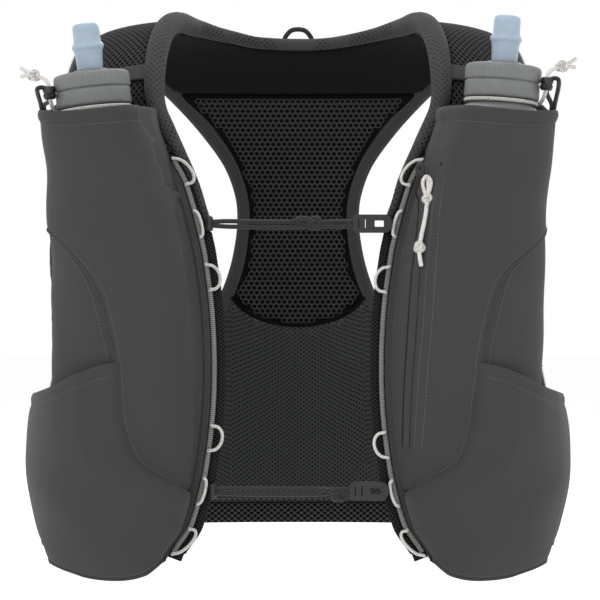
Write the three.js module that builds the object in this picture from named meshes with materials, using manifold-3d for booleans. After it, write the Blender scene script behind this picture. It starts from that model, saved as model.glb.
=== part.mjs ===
// A running hydration vest, in the shape of the chest that wears it.
// +X is the wearer's left, -Y is the front and +Z is up; the origin is the middle
// between the shoulders at the height where the shoulder straps sit.
import * as THREE from 'three';
import Module from 'manifold-3d';

const wasm = await Module();
wasm.setup();

// Driving sizes, in millimetres.
const chestHalfWidth = 168;
const chestFrontDepth = 106;
const chestBackDepth = 112;
const crestHeight = 6;
const chestBend = 120;
const hemDrop = 370;
const padThickness = 5;
const backPadThickness = 6;
const clothThickness = 1.6;
const seamGap = 0.4;
const rollDiameter = 15;
const bindingThickness = 5.4;
const bindingWidth = 10;
const sleeveLift = 53.5;
const sleeveRimDrop = 61;
const pocketFullness = 12;
const stowPocketLift = 16;
const flaskWidth = 57;
const flaskDepth = 39;
const flaskLength = 181;
const flaskNeckDiameter = 43;
const flaskStandoff = { right: 33, left: 34 };
const flaskRise = { right: 0, left: 5 };
const flaskLean = { right: 6.4, left: 4.5 };
const flaskTwist = 26;
const capDiameter = 50;
const capRingHeight = 11;
const capTopHeight = 11;
const valveDiameter = 21;
const valveHeight = 32;
const sternumCordDiameter = 3;
const laceDiameter = 2.1;
const lockDiameter = 8.4;
const tetherDiameter = 3;
const neckCordDiameter = 2.6;
const cordingWidth = 3.6;
const trimWidth = 5;
const hangLoopDiameter = 3.4;
const strandSpacing = 3.6;
const clipLength = 24;
const clipHeight = 11;
const clipThickness = 4.4;
const zipWidth = 4;

// How square the chest is in plan, in side view and across the shoulders.
const planPower = 2.6;
const sidePower = 2.5;
const shoulderPower = 5;

// The inner front edge: drop as a share of hemDrop, reach as a share of chestHalfWidth.
const frontEdge = [
  { drop: 0.954, reach: 0.503 },
  { drop: 0.895, reach: 0.425 },
  { drop: 0.813, reach: 0.375 },
  { drop: 0.708, reach: 0.344 },
  { drop: 0.611, reach: 0.336 },
  { drop: 0.511, reach: 0.346 },
  { drop: 0.414, reach: 0.374 },
  { drop: 0.343, reach: 0.410 },
  { drop: 0.286, reach: 0.450 },
  { drop: 0.243, reach: 0.500 },
  { drop: 0.200, reach: 0.530 },
  { drop: 0.154, reach: 0.540 },
];

// The neck roll's centre: climb 0 is the chest bend, 1 the crest and 2 the bend of the back.
const neckLine = [
  { climb: -0.060, reach: 0.348, girth: 0.26 },
  { climb: 0.000, reach: 0.378, girth: 0.30 },
  { climb: 0.090, reach: 0.436, girth: 0.40 },
  { climb: 0.147, reach: 0.480, girth: 0.58 },
  { climb: 0.273, reach: 0.548, girth: 0.80 },
  { climb: 0.400, reach: 0.562, girth: 0.94 },
  { climb: 0.640, reach: 0.545, girth: 1.00 },
  { climb: 0.860, reach: 0.505, girth: 1.00 },
  { climb: 1.040, reach: 0.440, girth: 0.86 },
  { climb: 1.150, reach: 0.330, girth: 0.66 },
  { climb: 1.235, reach: 0.170, girth: 0.56 },
  { climb: 1.260, reach: 0.000, girth: 0.56 },
];

// The armhole's rim, from the crest down the front, under the arm and up the back.
const armholeLine = [
  { drop: 0.150, reach: 0.930, face: -1, width: 0.70 },
  { drop: 0.240, reach: 0.945, face: -1, width: 0.70 },
  { drop: 0.360, reach: 0.945, face: -1, width: 0.70 },
  { drop: 0.500, reach: 0.945, face: -1, width: 0.70 },
  { drop: 0.610, reach: 0.950, face: -1, width: 0.70 },
  { drop: 0.664, reach: 0.978, face: -1, width: 0.80 },
  { drop: 0.680, reach: 1.000, face: 1, width: 0.90 },
  { drop: 0.682, reach: 0.955, face: 1, width: 1.00 },
  { drop: 0.672, reach: 0.840, face: 1, width: 1.00 },
  { drop: 0.632, reach: 0.630, face: 1, width: 1.05 },
  { drop: 0.570, reach: 0.430, face: 1, width: 1.10 },
  { drop: 0.505, reach: 0.330, face: 1, width: 1.10 },
  { drop: 0.440, reach: 0.275, face: 1, width: 1.05 },
  { drop: 0.375, reach: 0.247, face: 1, width: 1.00 },
  { drop: 0.330, reach: 0.240, face: 1, width: 1.00 },
  { drop: 0.290, reach: 0.248, face: 1, width: 1.00 },
  { drop: 0.230, reach: 0.292, face: 1, width: 1.05 },
  { drop: 0.168, reach: 0.384, face: 1, width: 1.10 },
  { drop: 0.105, reach: 0.510, face: 1, width: 1.10 },
  { drop: 0.055, reach: 0.640, face: 1, width: 1.00 },
  { drop: 0.020, reach: 0.760, face: 1, width: 0.90 },
  { drop: 0.020, reach: 0.858, face: -1, width: 0.70 },
  { drop: 0.075, reach: 0.900, face: -1, width: 0.70 },
];

// The hem of the front: reach as a share of chestHalfWidth, drop of hemDrop.
const frontHem = [
  { reach: 0.36, drop: 0.870 },
  { reach: 0.40, drop: 0.905 },
  { reach: 0.47, drop: 0.955 },
  { reach: 0.56, drop: 0.986 },
  { reach: 0.69, drop: 1.000 },
  { reach: 0.84, drop: 0.987 },
  { reach: 0.94, drop: 0.973 },
  { reach: 1.00, drop: 0.952 },
];

// The seam between the flask sleeve and the side: share of the way across, by drop.
const sleeveSeam = [
  { drop: 0.343, across: 1.00 },
  { drop: 0.360, across: 0.93 },
  { drop: 0.384, across: 0.76 },
  { drop: 0.414, across: 0.63 },
  { drop: 0.449, across: 0.54 },
  { drop: 0.490, across: 0.50 },
  { drop: 0.600, across: 0.46 },
  { drop: 0.708, across: 0.45 },
  { drop: 0.754, across: 0.42 },
  { drop: 0.786, across: 0.36 },
  { drop: 0.832, across: 0.10 },
];

// How far the sleeve stands off the chest, as a share of sleeveLift, by drop.
const sleeveSwell = [
  { drop: 0.150, lift: 1.42 },
  { drop: 0.200, lift: 1.28 },
  { drop: 0.286, lift: 1.09 },
  { drop: 0.430, lift: 1.00 },
  { drop: 0.600, lift: 0.94 },
  { drop: 0.720, lift: 0.78 },
  { drop: 0.830, lift: 0.52 },
  { drop: 0.920, lift: 0.30 },
  { drop: 1.000, lift: 0.10 },
];

// The lower pocket's mouth: share of the way across the front, and drop.
const mouthLine = [
  { across: 0.46, drop: 0.604 },
  { across: 0.70, drop: 0.640 },
  { across: 1.00, drop: 0.664 },
  { across: 1.35, drop: 0.676 },
];

// The back: half widths of the mesh between the armholes, by drop.
const backSeam = [
  { drop: 0.098, half: 0.470 },
  { drop: 0.154, half: 0.352 },
  { drop: 0.221, half: 0.262 },
  { drop: 0.295, half: 0.207 },
  { drop: 0.360, half: 0.204 },
  { drop: 0.430, half: 0.226 },
  { drop: 0.500, half: 0.284 },
  { drop: 0.548, half: 0.344 },
];
const smileDrop = 0.548;
const smileRise = 0.056;

// The lumbar panel's upper edge, below the mesh and the armhole bindings.
const lumbarTop = [
  { reach: 0.284, drop: 0.498 },
  { reach: 0.310, drop: 0.526 },
  { reach: 0.405, drop: 0.592 },
  { reach: 0.500, drop: 0.624 },
  { reach: 0.615, drop: 0.656 },
  { reach: 0.700, drop: 0.672 },
];

// The shoulder panel's two edges, by its climb over the crest.
const shoulderEdges = [
  { climb: 0.94, inner: 0.484, outer: 0.800 },
  { climb: 1.04, inner: 0.484, outer: 0.785 },
  { climb: 1.15, inner: 0.484, outer: 0.745 },
  { climb: 1.28, inner: 0.484, outer: 0.680 },
  { climb: 1.42, inner: 0.484, outer: 0.582 },
  { climb: 1.56, inner: 0.484, outer: 0.496 },
];

const rounded = (value, power) => Math.sign(value) * Math.abs(value) ** power;
const radians = THREE.MathUtils.degToRad;

// Reads a table at a place between its rows, on a smooth curve.
function read(table, key, place, value) {
  const rising = table[table.length - 1][key] > table[0][key];
  const rows = rising ? table : [...table].reverse();
  const last = rows.length - 1;
  if (place <= rows[0][key]) return rows[0][value];
  if (place >= rows[last][key]) return rows[last][value];
  let i = 0;
  while (rows[i + 1][key] < place) i += 1;
  const t = (place - rows[i][key]) / (rows[i + 1][key] - rows[i][key]);
  const before = rows[Math.max(i - 1, 0)][value];
  const after = rows[Math.min(i + 2, last)][value];
  const a = rows[i][value];
  const b = rows[i + 1][value];
  return 0.5 * (2 * a + (b - before) * t + (2 * before - 5 * a + 4 * b - after) * t * t
    + (3 * a - before - 3 * b + after) * t ** 3);
}

// The chest form. crestAt is the shoulder's height at a reach; reach runs from 0 to 1.
function crestAt(reach) {
  const slope = Math.max(0, 1 - Math.abs(reach) ** shoulderPower) ** (1 / shoulderPower);
  return -chestBend + (crestHeight + chestBend) * slope;
}

function depthAt(reach, face) {
  const depth = face < 0 ? chestFrontDepth : chestBackDepth;
  return face * depth * Math.max(0, 1 - Math.abs(reach) ** planPower) ** (1 / planPower);
}

// A point of the form at a reach and a height, on the front (-1) or the back (1).
function spot(side, reach, z, face) {
  const rise = Math.max(0, (z + chestBend) / (crestAt(reach) + chestBend));
  const lean = Math.max(0, 1 - rise ** sidePower) ** (1 / sidePower);
  return new THREE.Vector3(side * reach * chestHalfWidth, depthAt(reach, face) * lean, z);
}

// A point of the form above the chest bend, by its climb over the shoulder.
function over(side, reach, climb) {
  const face = climb < 1 ? -1 : 1;
  const turn = face < 0 ? climb : 2 - climb;
  if (turn < 0) return spot(side, reach, -chestBend + turn * (hemDrop - chestBend), face);
  const angle = turn * Math.PI / 2;
  const z = -chestBend + (crestAt(reach) + chestBend) * Math.sin(angle) ** (2 / sidePower);
  const y = depthAt(reach, face) * Math.cos(angle) ** (2 / sidePower);
  return new THREE.Vector3(side * reach * chestHalfWidth, y, z);
}

// A point round the form at a height: 0 degrees is the front, 90 the side.
function around(side, degrees, z) {
  const reach = Math.sin(radians(degrees)) ** (2 / planPower);
  const depth = degrees < 90 ? chestFrontDepth : chestBackDepth;
  const y = -depth * rounded(Math.cos(radians(degrees)), 2 / planPower);
  return new THREE.Vector3(side * reach * chestHalfWidth, y, z);
}

// The way out of the form at a point.
function outward(p) {
  const depth = p.y < 0 ? chestFrontDepth : chestBackDepth;
  const rise = Math.max(0, (p.z + chestBend) / (crestHeight + chestBend));
  return new THREE.Vector3(
    rounded(p.x / chestHalfWidth, planPower - 1) / chestHalfWidth,
    rounded(p.y / depth, planPower - 1) / depth,
    rise ** (sidePower - 1) / (crestHeight + chestBend),
  ).normalize();
}

const raised = (p, height) => p.clone().addScaledVector(outward(p), height);

// A closed body from points and faces, with its faces turned outward.
function solid(points, faces) {
  let volume = 0;
  for (const [a, b, c] of faces) {
    volume += points[a].dot(new THREE.Vector3().crossVectors(points[b], points[c]));
  }
  const turned = volume < 0 ? faces.map(([a, b, c]) => [a, c, b]) : faces;
  const geometry = new THREE.BufferGeometry().setFromPoints(points);
  geometry.setIndex(turned.flat());
  return geometry;
}

// A wall of cloth: at(u, v) gives its inner and its outer point.
function wall(across, along, at) {
  const points = [];
  for (const layer of [0, 1]) {
    for (let j = 0; j <= along; j += 1) {
      for (let i = 0; i <= across; i += 1) points.push(at(i / across, j / along)[layer]);
    }
  }
  const width = across + 1;
  const sheet = width * (along + 1);
  const faces = [];
  const quad = (a, b, c, d) => faces.push([a, b, c], [a, c, d]);
  for (let j = 0; j < along; j += 1) {
    for (let i = 0; i < across; i += 1) {
      const a = j * width + i;
      quad(a, a + width, a + width + 1, a + 1);
      quad(sheet + a, sheet + a + 1, sheet + a + width + 1, sheet + a + width);
    }
  }
  for (let j = 0; j < along; j += 1) {
    const a = j * width;
    const b = a + across;
    quad(a, sheet + a, sheet + a + width, a + width);
    quad(b, b + width, sheet + b + width, sheet + b);
  }
  for (let i = 0; i < across; i += 1) {
    const b = along * width + i;
    quad(i, i + 1, sheet + i + 1, sheet + i);
    quad(b, sheet + b, sheet + b + 1, b + 1);
  }
  return solid(points, faces);
}

// A body lofted through rings of points, open with flat ends or closed on itself.
function loft(rings, closed) {
  const count = rings[0].length;
  const faces = [];
  const spans = closed ? rings.length : rings.length - 1;
  for (let j = 0; j < spans; j += 1) {
    const from = j * count;
    const to = ((j + 1) % rings.length) * count;
    for (let i = 0; i < count; i += 1) {
      const next = (i + 1) % count;
      faces.push([from + i, from + next, to + next], [from + i, to + next, to + i]);
    }
  }
  if (!closed) {
    const last = (rings.length - 1) * count;
    for (let i = 1; i < count - 1; i += 1) {
      faces.push([0, i + 1, i], [last, last + i, last + i + 1]);
    }
  }
  return solid(rings.flat(), faces);
}

// A strip that follows places on the form: each row gives a centre, a half width
// along the form and the heights of its two faces.
function strip(rows, closed) {
  const rings = rows.map((row, i) => {
    const before = rows[closed ? (i + rows.length - 1) % rows.length : Math.max(i - 1, 0)];
    const after = rows[closed ? (i + 1) % rows.length : Math.min(i + 1, rows.length - 1)];
    const out = outward(row.at);
    const along = after.at.clone().sub(before.at).normalize();
    const across = new THREE.Vector3().crossVectors(along, out).normalize();
    const corner = (side, height) => row.at.clone()
      .addScaledVector(across, side * row.half).addScaledVector(out, height);
    return [corner(-1, row.low), corner(1, row.low), corner(1, row.high), corner(-1, row.high)];
  });
  return loft(rings, closed);
}

// A round cord along points.
function cord(points, diameter, sides, steps, closed = false) {
  const path = new THREE.CatmullRomCurve3(points, closed, 'centripetal');
  if (closed) {
    const frames = path.computeFrenetFrames(steps, true);
    const rings = [];
    for (let i = 0; i < steps; i += 1) {
      const centre = path.getPointAt(i / steps);
      const ring = [];
      for (let k = 0; k < sides; k += 1) {
        const angle = 2 * Math.PI * k / sides;
        ring.push(centre.clone()
          .addScaledVector(frames.normals[i], Math.cos(angle) * diameter / 2)
          .addScaledVector(frames.binormals[i], Math.sin(angle) * diameter / 2));
      }
      rings.push(ring);
    }
    return loft(rings, true);
  }
  const section = new THREE.Shape();
  for (let k = 0; k < sides; k += 1) {
    const angle = 2 * Math.PI * k / sides;
    const corner = [Math.cos(angle) * diameter / 2, Math.sin(angle) * diameter / 2];
    if (k === 0) section.moveTo(...corner);
    else section.lineTo(...corner);
  }
  section.closePath();
  return new THREE.ExtrudeGeometry(section, { steps, bevelEnabled: false, extrudePath: path });
}

// Joins and cuts with closed meshes.
function toManifold(geometry) {
  const flat = geometry.index ? geometry.toNonIndexed() : geometry;
  const source = flat.getAttribute('position');
  const keys = new Map();
  const vertices = [];
  const corners = [];
  for (let i = 0; i < source.count; i += 1) {
    const p = [source.getX(i), source.getY(i), source.getZ(i)];
    const key = p.map((n) => Math.round(n * 1e4)).join(',');
    if (!keys.has(key)) {
      keys.set(key, vertices.length / 3);
      vertices.push(...p);
    }
    corners.push(keys.get(key));
  }
  const triangles = [];
  for (let i = 0; i < corners.length; i += 3) {
    const [a, b, c] = corners.slice(i, i + 3);
    if (a !== b && b !== c && c !== a) triangles.push(a, b, c);
  }
  return new wasm.Manifold(new wasm.Mesh({
    numProp: 3,
    vertProperties: new Float32Array(vertices),
    triVerts: new Uint32Array(triangles),
  }));
}

function fromManifold(body) {
  const mesh = body.getMesh();
  const points = [];
  for (let i = 0; i < mesh.vertProperties.length; i += mesh.numProp) {
    points.push(new THREE.Vector3(...mesh.vertProperties.slice(i, i + 3)));
  }
  const faces = [];
  for (let i = 0; i < mesh.triVerts.length; i += 3) {
    faces.push([...mesh.triVerts.slice(i, i + 3)]);
  }
  return solid(points, faces);
}

const joined = (...parts) => fromManifold(parts.map(toManifold).reduce((a, b) => a.add(b)));
const cut = (from, ...tools) => fromManifold(
  tools.map(toManifold).reduce((a, b) => a.subtract(b), toManifold(from)),
);

// Finishes, by slot.
const finishes = {
  stretchCloth: { color: 0x4d4b4c, roughness: 0.85, metalness: 0 },
  padMesh: { color: 0x2f3132, roughness: 0.9, metalness: 0 },
  rollCloth: { color: 0x464445, roughness: 0.88, metalness: 0 },
  binding: { color: 0x303233, roughness: 0.8, metalness: 0 },
  cap: { color: 0x6c6d6e, roughness: 0.5, metalness: 0 },
  flask: { color: 0x7b7d7d, roughness: 0.4, metalness: 0 },
  silicone: { color: 0xb0c6da, roughness: 0.35, metalness: 0 },
  lace: { color: 0xdddad6, roughness: 0.8, metalness: 0 },
  darkCord: { color: 0x2c2d2e, roughness: 0.8, metalness: 0 },
  hardware: { color: 0x2a2a2b, roughness: 0.45, metalness: 0 },
  coil: { color: 0x686665, roughness: 0.6, metalness: 0 },
};

const vest = new THREE.Group();
function add(name, geometry, finish) {
  const mesh = new THREE.Mesh(geometry, new THREE.MeshStandardMaterial(finishes[finish]));
  mesh.name = name;
  vest.add(mesh);
  return mesh;
}

const sides = [['right', -1], ['left', 1]];
const edgeReach = (z) => read(frontEdge, 'drop', -z / hemDrop, 'reach');
const hemAt = (reach) => -hemDrop * read(frontHem, 'reach', reach, 'drop');
const clothOut = padThickness + seamGap;

// The front panel's outer edge, just inside the armhole binding, as reaches.
const panelOuterReach = 0.905;
const crestOuterReach = 0.80;
const panelTopClimb = 0.93;
const shoulderTopClimb = 0.94;
const shoulderEndClimb = 1.56;
const cordingTop = 0.25;
const cordingSide = 0.010;
const rowReach = 0.7;
const hemMargin = 4;
const rollClearance = 4.2 * seamGap;

// Where the neck roll's outer side lies, as a reach.
function rollEdge(climb) {
  const girth = read(neckLine, 'climb', climb, 'girth') * rollDiameter / 2;
  return read(neckLine, 'climb', climb, 'reach') + (girth + rollClearance) / chestHalfWidth;
}

// Front panels: padded mesh from the hem to just below the crest.
function frontPanel(side) {
  return wall(5, 16, (u, v) => {
    const climb = THREE.MathUtils.lerp(-1, panelTopClimb, v);
    const rowHeight = over(side, rowReach, climb).z;
    const top = Math.max(0, climb);
    const outer = THREE.MathUtils.lerp(panelOuterReach, crestOuterReach, top);
    const beside = edgeReach(rowHeight) + cordingSide;
    const from = rowHeight > -cordingTop * hemDrop ? rollEdge(climb) : beside;
    const reach = THREE.MathUtils.lerp(from, outer, u);
    let p = over(side, reach, climb);
    if (climb < 0) {
      const z = THREE.MathUtils.lerp(hemAt(reach) + hemMargin, -chestBend, climb + 1);
      p = spot(side, reach, z, -1);
    }
    return [p, raised(p, padThickness)];
  });
}

// Shoulder panels: mesh over the crest, narrowing to the back.
function shoulderPanel(side) {
  return wall(4, 6, (u, v) => {
    const climb = THREE.MathUtils.lerp(shoulderTopClimb, shoulderEndClimb, v);
    const inner = Math.max(read(shoulderEdges, 'climb', climb, 'inner'), rollEdge(climb));
    const outer = read(shoulderEdges, 'climb', climb, 'outer');
    const p = over(side, THREE.MathUtils.lerp(inner, outer, u), climb);
    return [p, raised(p, padThickness)];
  });
}

// The yoke: a soft pad across the back of the neck.
const yokeHalfReach = 0.478;
const yokeLowDrop = 0.088;
const yokeBelowRoll = 0.036;
const yokeSpread = 0.04;
const neckSideReach = 0.44;
const neckBehind = neckLine.filter((row) => row.reach <= 0.505 && row.climb >= 0.86);
function yoke() {
  return wall(14, 4, (u, v) => {
    const reach = (2 * u - 1) * yokeHalfReach;
    const side = Math.sign(reach) || 1;
    const size = Math.abs(reach);
    const neck = read(neckBehind, 'reach', Math.min(size, neckSideReach), 'climb');
    const low = 2 - Math.asin(((chestBend - yokeLowDrop * hemDrop)
      / (crestAt(size) + chestBend)) ** (sidePower / 2)) * 2 / Math.PI;
    const p = over(side, size, THREE.MathUtils.lerp(neck + yokeBelowRoll + yokeSpread * size, low, v));
    return [p, raised(p, backPadThickness)];
  });
}

// The back mesh between the armholes, with a smiling lower edge.
const panelSeam = 0.004;
function backMesh() {
  return wall(10, 12, (u, v) => {
    const side = Math.sign(u - 0.5) || 1;
    const smile = smileDrop - smileRise * (2 * u - 1) ** 2;
    const drop = THREE.MathUtils.lerp(yokeLowDrop + panelSeam, smile, v);
    const reach = Math.abs(2 * u - 1) * read(backSeam, 'drop', drop, 'half');
    const p = spot(side, reach, -drop * hemDrop, 1);
    return [p, raised(p, backPadThickness)];
  });
}

// The lumbar panel below it, from armhole to armhole.
const lumbarHalfReach = 0.70;
const smileHalfReach = 0.300;
const lumbarLowDrop = 0.905;
const hemBandDrop = 0.946;
function lumbarPanel() {
  return wall(14, 6, (u, v) => {
    const side = Math.sign(u - 0.5) || 1;
    const size = Math.abs(2 * u - 1);
    const reach = size * lumbarHalfReach;
    const top = reach < smileHalfReach
      ? smileDrop + panelSeam - smileRise * (reach / smileHalfReach) ** 2
      : read(lumbarTop, 'reach', reach, 'drop');
    const drop = THREE.MathUtils.lerp(top, lumbarLowDrop, v);
    const p = spot(side, reach, -drop * hemDrop, 1);
    return [p, raised(p, backPadThickness)];
  });
}

function hemBand() {
  return wall(12, 1, (u, v) => {
    const side = Math.sign(u - 0.5) || 1;
    const drop = THREE.MathUtils.lerp(lumbarLowDrop + panelSeam / 2, hemBandDrop, v);
    const p = spot(side, Math.abs(2 * u - 1) * lumbarHalfReach, -drop * hemDrop, 1);
    return [p, raised(p, backPadThickness)];
  });
}

// The stow pocket on the outer side of the back.
const stowDrops = { top: 0.60, low: 0.925 };
const stowReaches = { top: 0.50, low: 0.62 };
function stowPocket() {
  return wall(10, 8, (u, v) => {
    const side = Math.sign(u - 0.5) || 1;
    const drop = THREE.MathUtils.lerp(stowDrops.top, stowDrops.low, v);
    const widest = THREE.MathUtils.lerp(stowReaches.top, stowReaches.low, Math.min(1, v * 2));
    const p = spot(side, Math.abs(2 * u - 1) * widest, -drop * hemDrop, 1);
    const swell = (Math.sin(Math.PI * u) * Math.sin(Math.PI * (0.2 + 0.8 * v))) ** 0.6;
    const low = backPadThickness + seamGap + stowPocketLift * Math.max(0, swell);
    return [raised(p, low), raised(p, low + clothThickness)];
  });
}

// Side wings: stretch cloth under the arm, from the front panel to the back.
const wingFrontAngle = 61.9;
const wingBackAngle = 140.85;
const wingTop = { front: 0.700, back: 0.706 };
const wingFrontLow = 0.952;
const wingSeat = 1;
function sideWing(side) {
  return wall(8, 4, (u, v) => {
    const angle = THREE.MathUtils.lerp(wingFrontAngle, wingBackAngle, u);
    const top = THREE.MathUtils.lerp(wingTop.front, wingTop.back, u);
    const low = THREE.MathUtils.lerp(wingFrontLow, hemBandDrop, Math.min(1, u * 1.4));
    const z = -hemDrop * THREE.MathUtils.lerp(top, low, v);
    const p = around(side, angle, z);
    return [raised(p, wingSeat), raised(p, wingSeat + clothThickness)];
  });
}

// The outer skin of the front: a sleeve that stands off the chest between two edges.
// It stands off further where the chest leaves less width than the flask asks for.
const bulgeLean = 0.34;
const skinStart = 0.03;
const skinEnd = panelOuterReach - 0.01;
const rollCover = 0.62;
const coverDrops = { full: 0.17, none: 0.25 };
const widthPerFlask = 1.57;
const middleEdgeReach = 0.37;
const sleeveRoom = Math.max(
  1, flaskWidth * widthPerFlask / ((panelOuterReach - middleEdgeReach) * chestHalfWidth),
);
function skin(side, across, z) {
  const inner = spot(side, edgeReach(z) + skinStart, z, -1);
  const outer = spot(side, skinEnd, z, -1);
  const lift = sleeveLift * sleeveRoom * read(sleeveSwell, 'drop', -z / hemDrop, 'lift');
  const turn = Math.PI * Math.min(1, across);
  const way = (1 - rounded(Math.cos(turn), 0.9)) / 2;
  const p = inner.clone().lerp(outer, way);
  const out = new THREE.Vector3(side * bulgeLean, -1, 0).normalize();
  p.addScaledVector(out, lift * Math.sin(turn) ** 0.5);
  const overRoll = rollDiameter * rollCover
    * THREE.MathUtils.smoothstep(z, -coverDrops.none * hemDrop, -coverDrops.full * hemDrop);
  const height = clothOut + overRoll * Math.max(0, 1 - 2.5 * way);
  return p.addScaledVector(outward(inner.clone().lerp(outer, way)), height);
}

const skinOut = (side) => new THREE.Vector3(side * 0.35, -1, 0).normalize();

const sleeveLowDrop = 0.832;
function flaskSleeve(side) {
  return wall(10, 9, (u, v) => {
    const drop = THREE.MathUtils.lerp(sleeveRimDrop / hemDrop, sleeveLowDrop, v);
    const reachTo = Math.min(1, read(sleeveSeam, 'drop', drop, 'across'));
    const p = skin(side, u * reachTo, -drop * hemDrop);
    return [p, p.clone().addScaledVector(skinOut(side), clothThickness)];
  });
}

const sidePanelDrops = { top: 0.356, low: 0.93 };
const seamRise = 0.028;
function sidePanel(side) {
  return wall(5, 10, (u, v) => {
    const drop = THREE.MathUtils.lerp(sidePanelDrops.top, sidePanelDrops.low, v);
    const seam = Math.max(
      read(sleeveSeam, 'drop', Math.min(drop, sleeveLowDrop), 'across'),
      read(sleeveSeam, 'drop', Math.min(drop, sleeveLowDrop + seamRise) - seamRise, 'across'),
    );
    const from = Math.min(0.985, seam + 0.02);
    const p = skin(side, THREE.MathUtils.lerp(from, 1, u), -drop * hemDrop);
    return [p, p.clone().addScaledVector(skinOut(side), clothThickness)];
  });
}

// The lower pocket wraps the front and the side, over the skin and the wing.
// Across runs from 0 at the front edge to 1 at the side and on round to its back end.
const pocketBackAngle = 108;
const pocketEnds = { front: 0.03, back: 1.4 };
const pocketSeam = { until: 0.46, front: 0.852, back: 0.76 };
function lowerPocket(side) {
  return wall(11, 6, (u, v) => {
    const across = THREE.MathUtils.lerp(pocketEnds.front, pocketEnds.back, u);
    const mouth = read(mouthLine, 'across', across, 'drop');
    const reach = across > 1 ? 1 : THREE.MathUtils.lerp(0.4, panelOuterReach, across);
    const low = -hemAt(reach) / hemDrop - 0.004;
    const seamShare = (across - pocketEnds.front) / (pocketSeam.until - pocketEnds.front);
    const seam = THREE.MathUtils.lerp(pocketSeam.front, pocketSeam.back, seamShare);
    const top = across < pocketSeam.until ? Math.max(mouth, seam) : mouth;
    const drop = THREE.MathUtils.lerp(top, low, v);
    const z = -drop * hemDrop;
    const full = (Math.sin(Math.PI * (0.12 + 0.88 * v))) ** 0.7;
    const ends = Math.min(1, Math.sin(Math.PI * u) * 2.2);
    const lift = clothThickness + seamGap + Math.max(0, full * ends) * pocketFullness;
    let p = skin(side, Math.min(1, across), z);
    let out = skinOut(side);
    if (across > 1) {
      const share = (across - 1) / (pocketEnds.back - 1);
      const angle = THREE.MathUtils.lerp(wingFrontAngle, pocketBackAngle, share);
      const q = around(side, angle, z);
      out = outward(q);
      p = raised(q, clothOut);
    }
    return [p.clone().addScaledVector(out, lift), p.clone().addScaledVector(out, lift + clothThickness)];
  });
}

for (const [name, side] of sides) {
  add(`front_panel_${name}`, frontPanel(side), 'padMesh');
  add(`shoulder_panel_${name}`, shoulderPanel(side), 'padMesh');
  add(`side_wing_${name}`, sideWing(side), 'stretchCloth');
  add(`flask_pocket_${name}`, flaskSleeve(side), 'stretchCloth');
  add(`side_panel_${name}`, sidePanel(side), 'stretchCloth');
  add(`lower_pocket_${name}`, lowerPocket(side), 'stretchCloth');
}
add('yoke_pad', yoke(), 'padMesh');
add('back_mesh', backMesh(), 'padMesh');
add('lumbar_panel', lumbarPanel(), 'padMesh');
add('hem_band', hemBand(), 'padMesh');
add('back_pocket', stowPocket(), 'stretchCloth');

// Armhole bindings: flat padded rims that close the armholes.
function armholeBinding(side) {
  const rows = armholeLine.map((row) => ({
    at: spot(side, row.reach, Math.min(-row.drop * hemDrop, crestAt(row.reach) - 0.5), row.face),
    half: row.width * bindingWidth / 2,
    low: 0,
    high: bindingThickness,
  }));
  return strip(rows, true);
}

// The roll round the neck, thick on the shoulders and slim on the chest.
function neckRoll() {
  const half = neckLine.map((row) => ({ row, side: -1 }));
  const other = neckLine.slice(0, -1).reverse().map((row) => ({ row, side: 1 }));
  const places = [...half, ...other].map(({ row, side }) => ({
    at: over(side, row.reach, row.climb),
    radius: row.girth * rollDiameter / 2,
  }));
  const rings = places.map((place, i) => {
    const before = places[Math.max(i - 1, 0)].at;
    const after = places[Math.min(i + 1, places.length - 1)].at;
    const along = after.clone().sub(before).normalize();
    const out = outward(place.at);
    const across = new THREE.Vector3().crossVectors(along, out).normalize();
    const centre = place.at.clone().addScaledVector(out, place.radius * 0.5);
    const ring = [];
    for (let k = 0; k < 8; k += 1) {
      const angle = 2 * Math.PI * k / 8;
      ring.push(centre.clone()
        .addScaledVector(across, Math.cos(angle) * place.radius)
        .addScaledVector(out, Math.sin(angle) * place.radius));
    }
    return ring;
  });
  return loft(rings, false);
}

for (const [name, side] of sides) add(`armhole_binding_${name}`, armholeBinding(side), 'binding');
add('neck_roll', neckRoll(), 'rollCloth');

// Trim and cording down the two front edges.
const trimTop = 0.378;
const edgeBottom = 0.945;
const cordingReach = -0.012;
function besideEdge(side, shift, z) {
  const slope = (edgeReach(z + 2) - edgeReach(z - 2)) * chestHalfWidth / 4;
  return spot(side, edgeReach(z) + shift * Math.hypot(1, slope), z, -1);
}
function edgeStrip(side, top, shift, width, low, high) {
  const rows = [];
  const steps = 14;
  for (let i = 0; i <= steps; i += 1) {
    const z = -hemDrop * THREE.MathUtils.lerp(top, edgeBottom, i / steps);
    rows.push({ at: besideEdge(side, shift, z), half: width / 2, low, high });
  }
  return strip(rows, false);
}

const trimReach = cordingReach - (cordingWidth + trimWidth + 2 * seamGap) / 2 / chestHalfWidth;
for (const [name, side] of sides) {
  add(`edge_cording_${name}`, edgeStrip(side, cordingTop, cordingReach, cordingWidth, 1.5, 6), 'coil');
  add(`edge_trim_${name}`, edgeStrip(side, trimTop, trimReach, trimWidth, 0.5, 3.6), 'binding');
}

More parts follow.
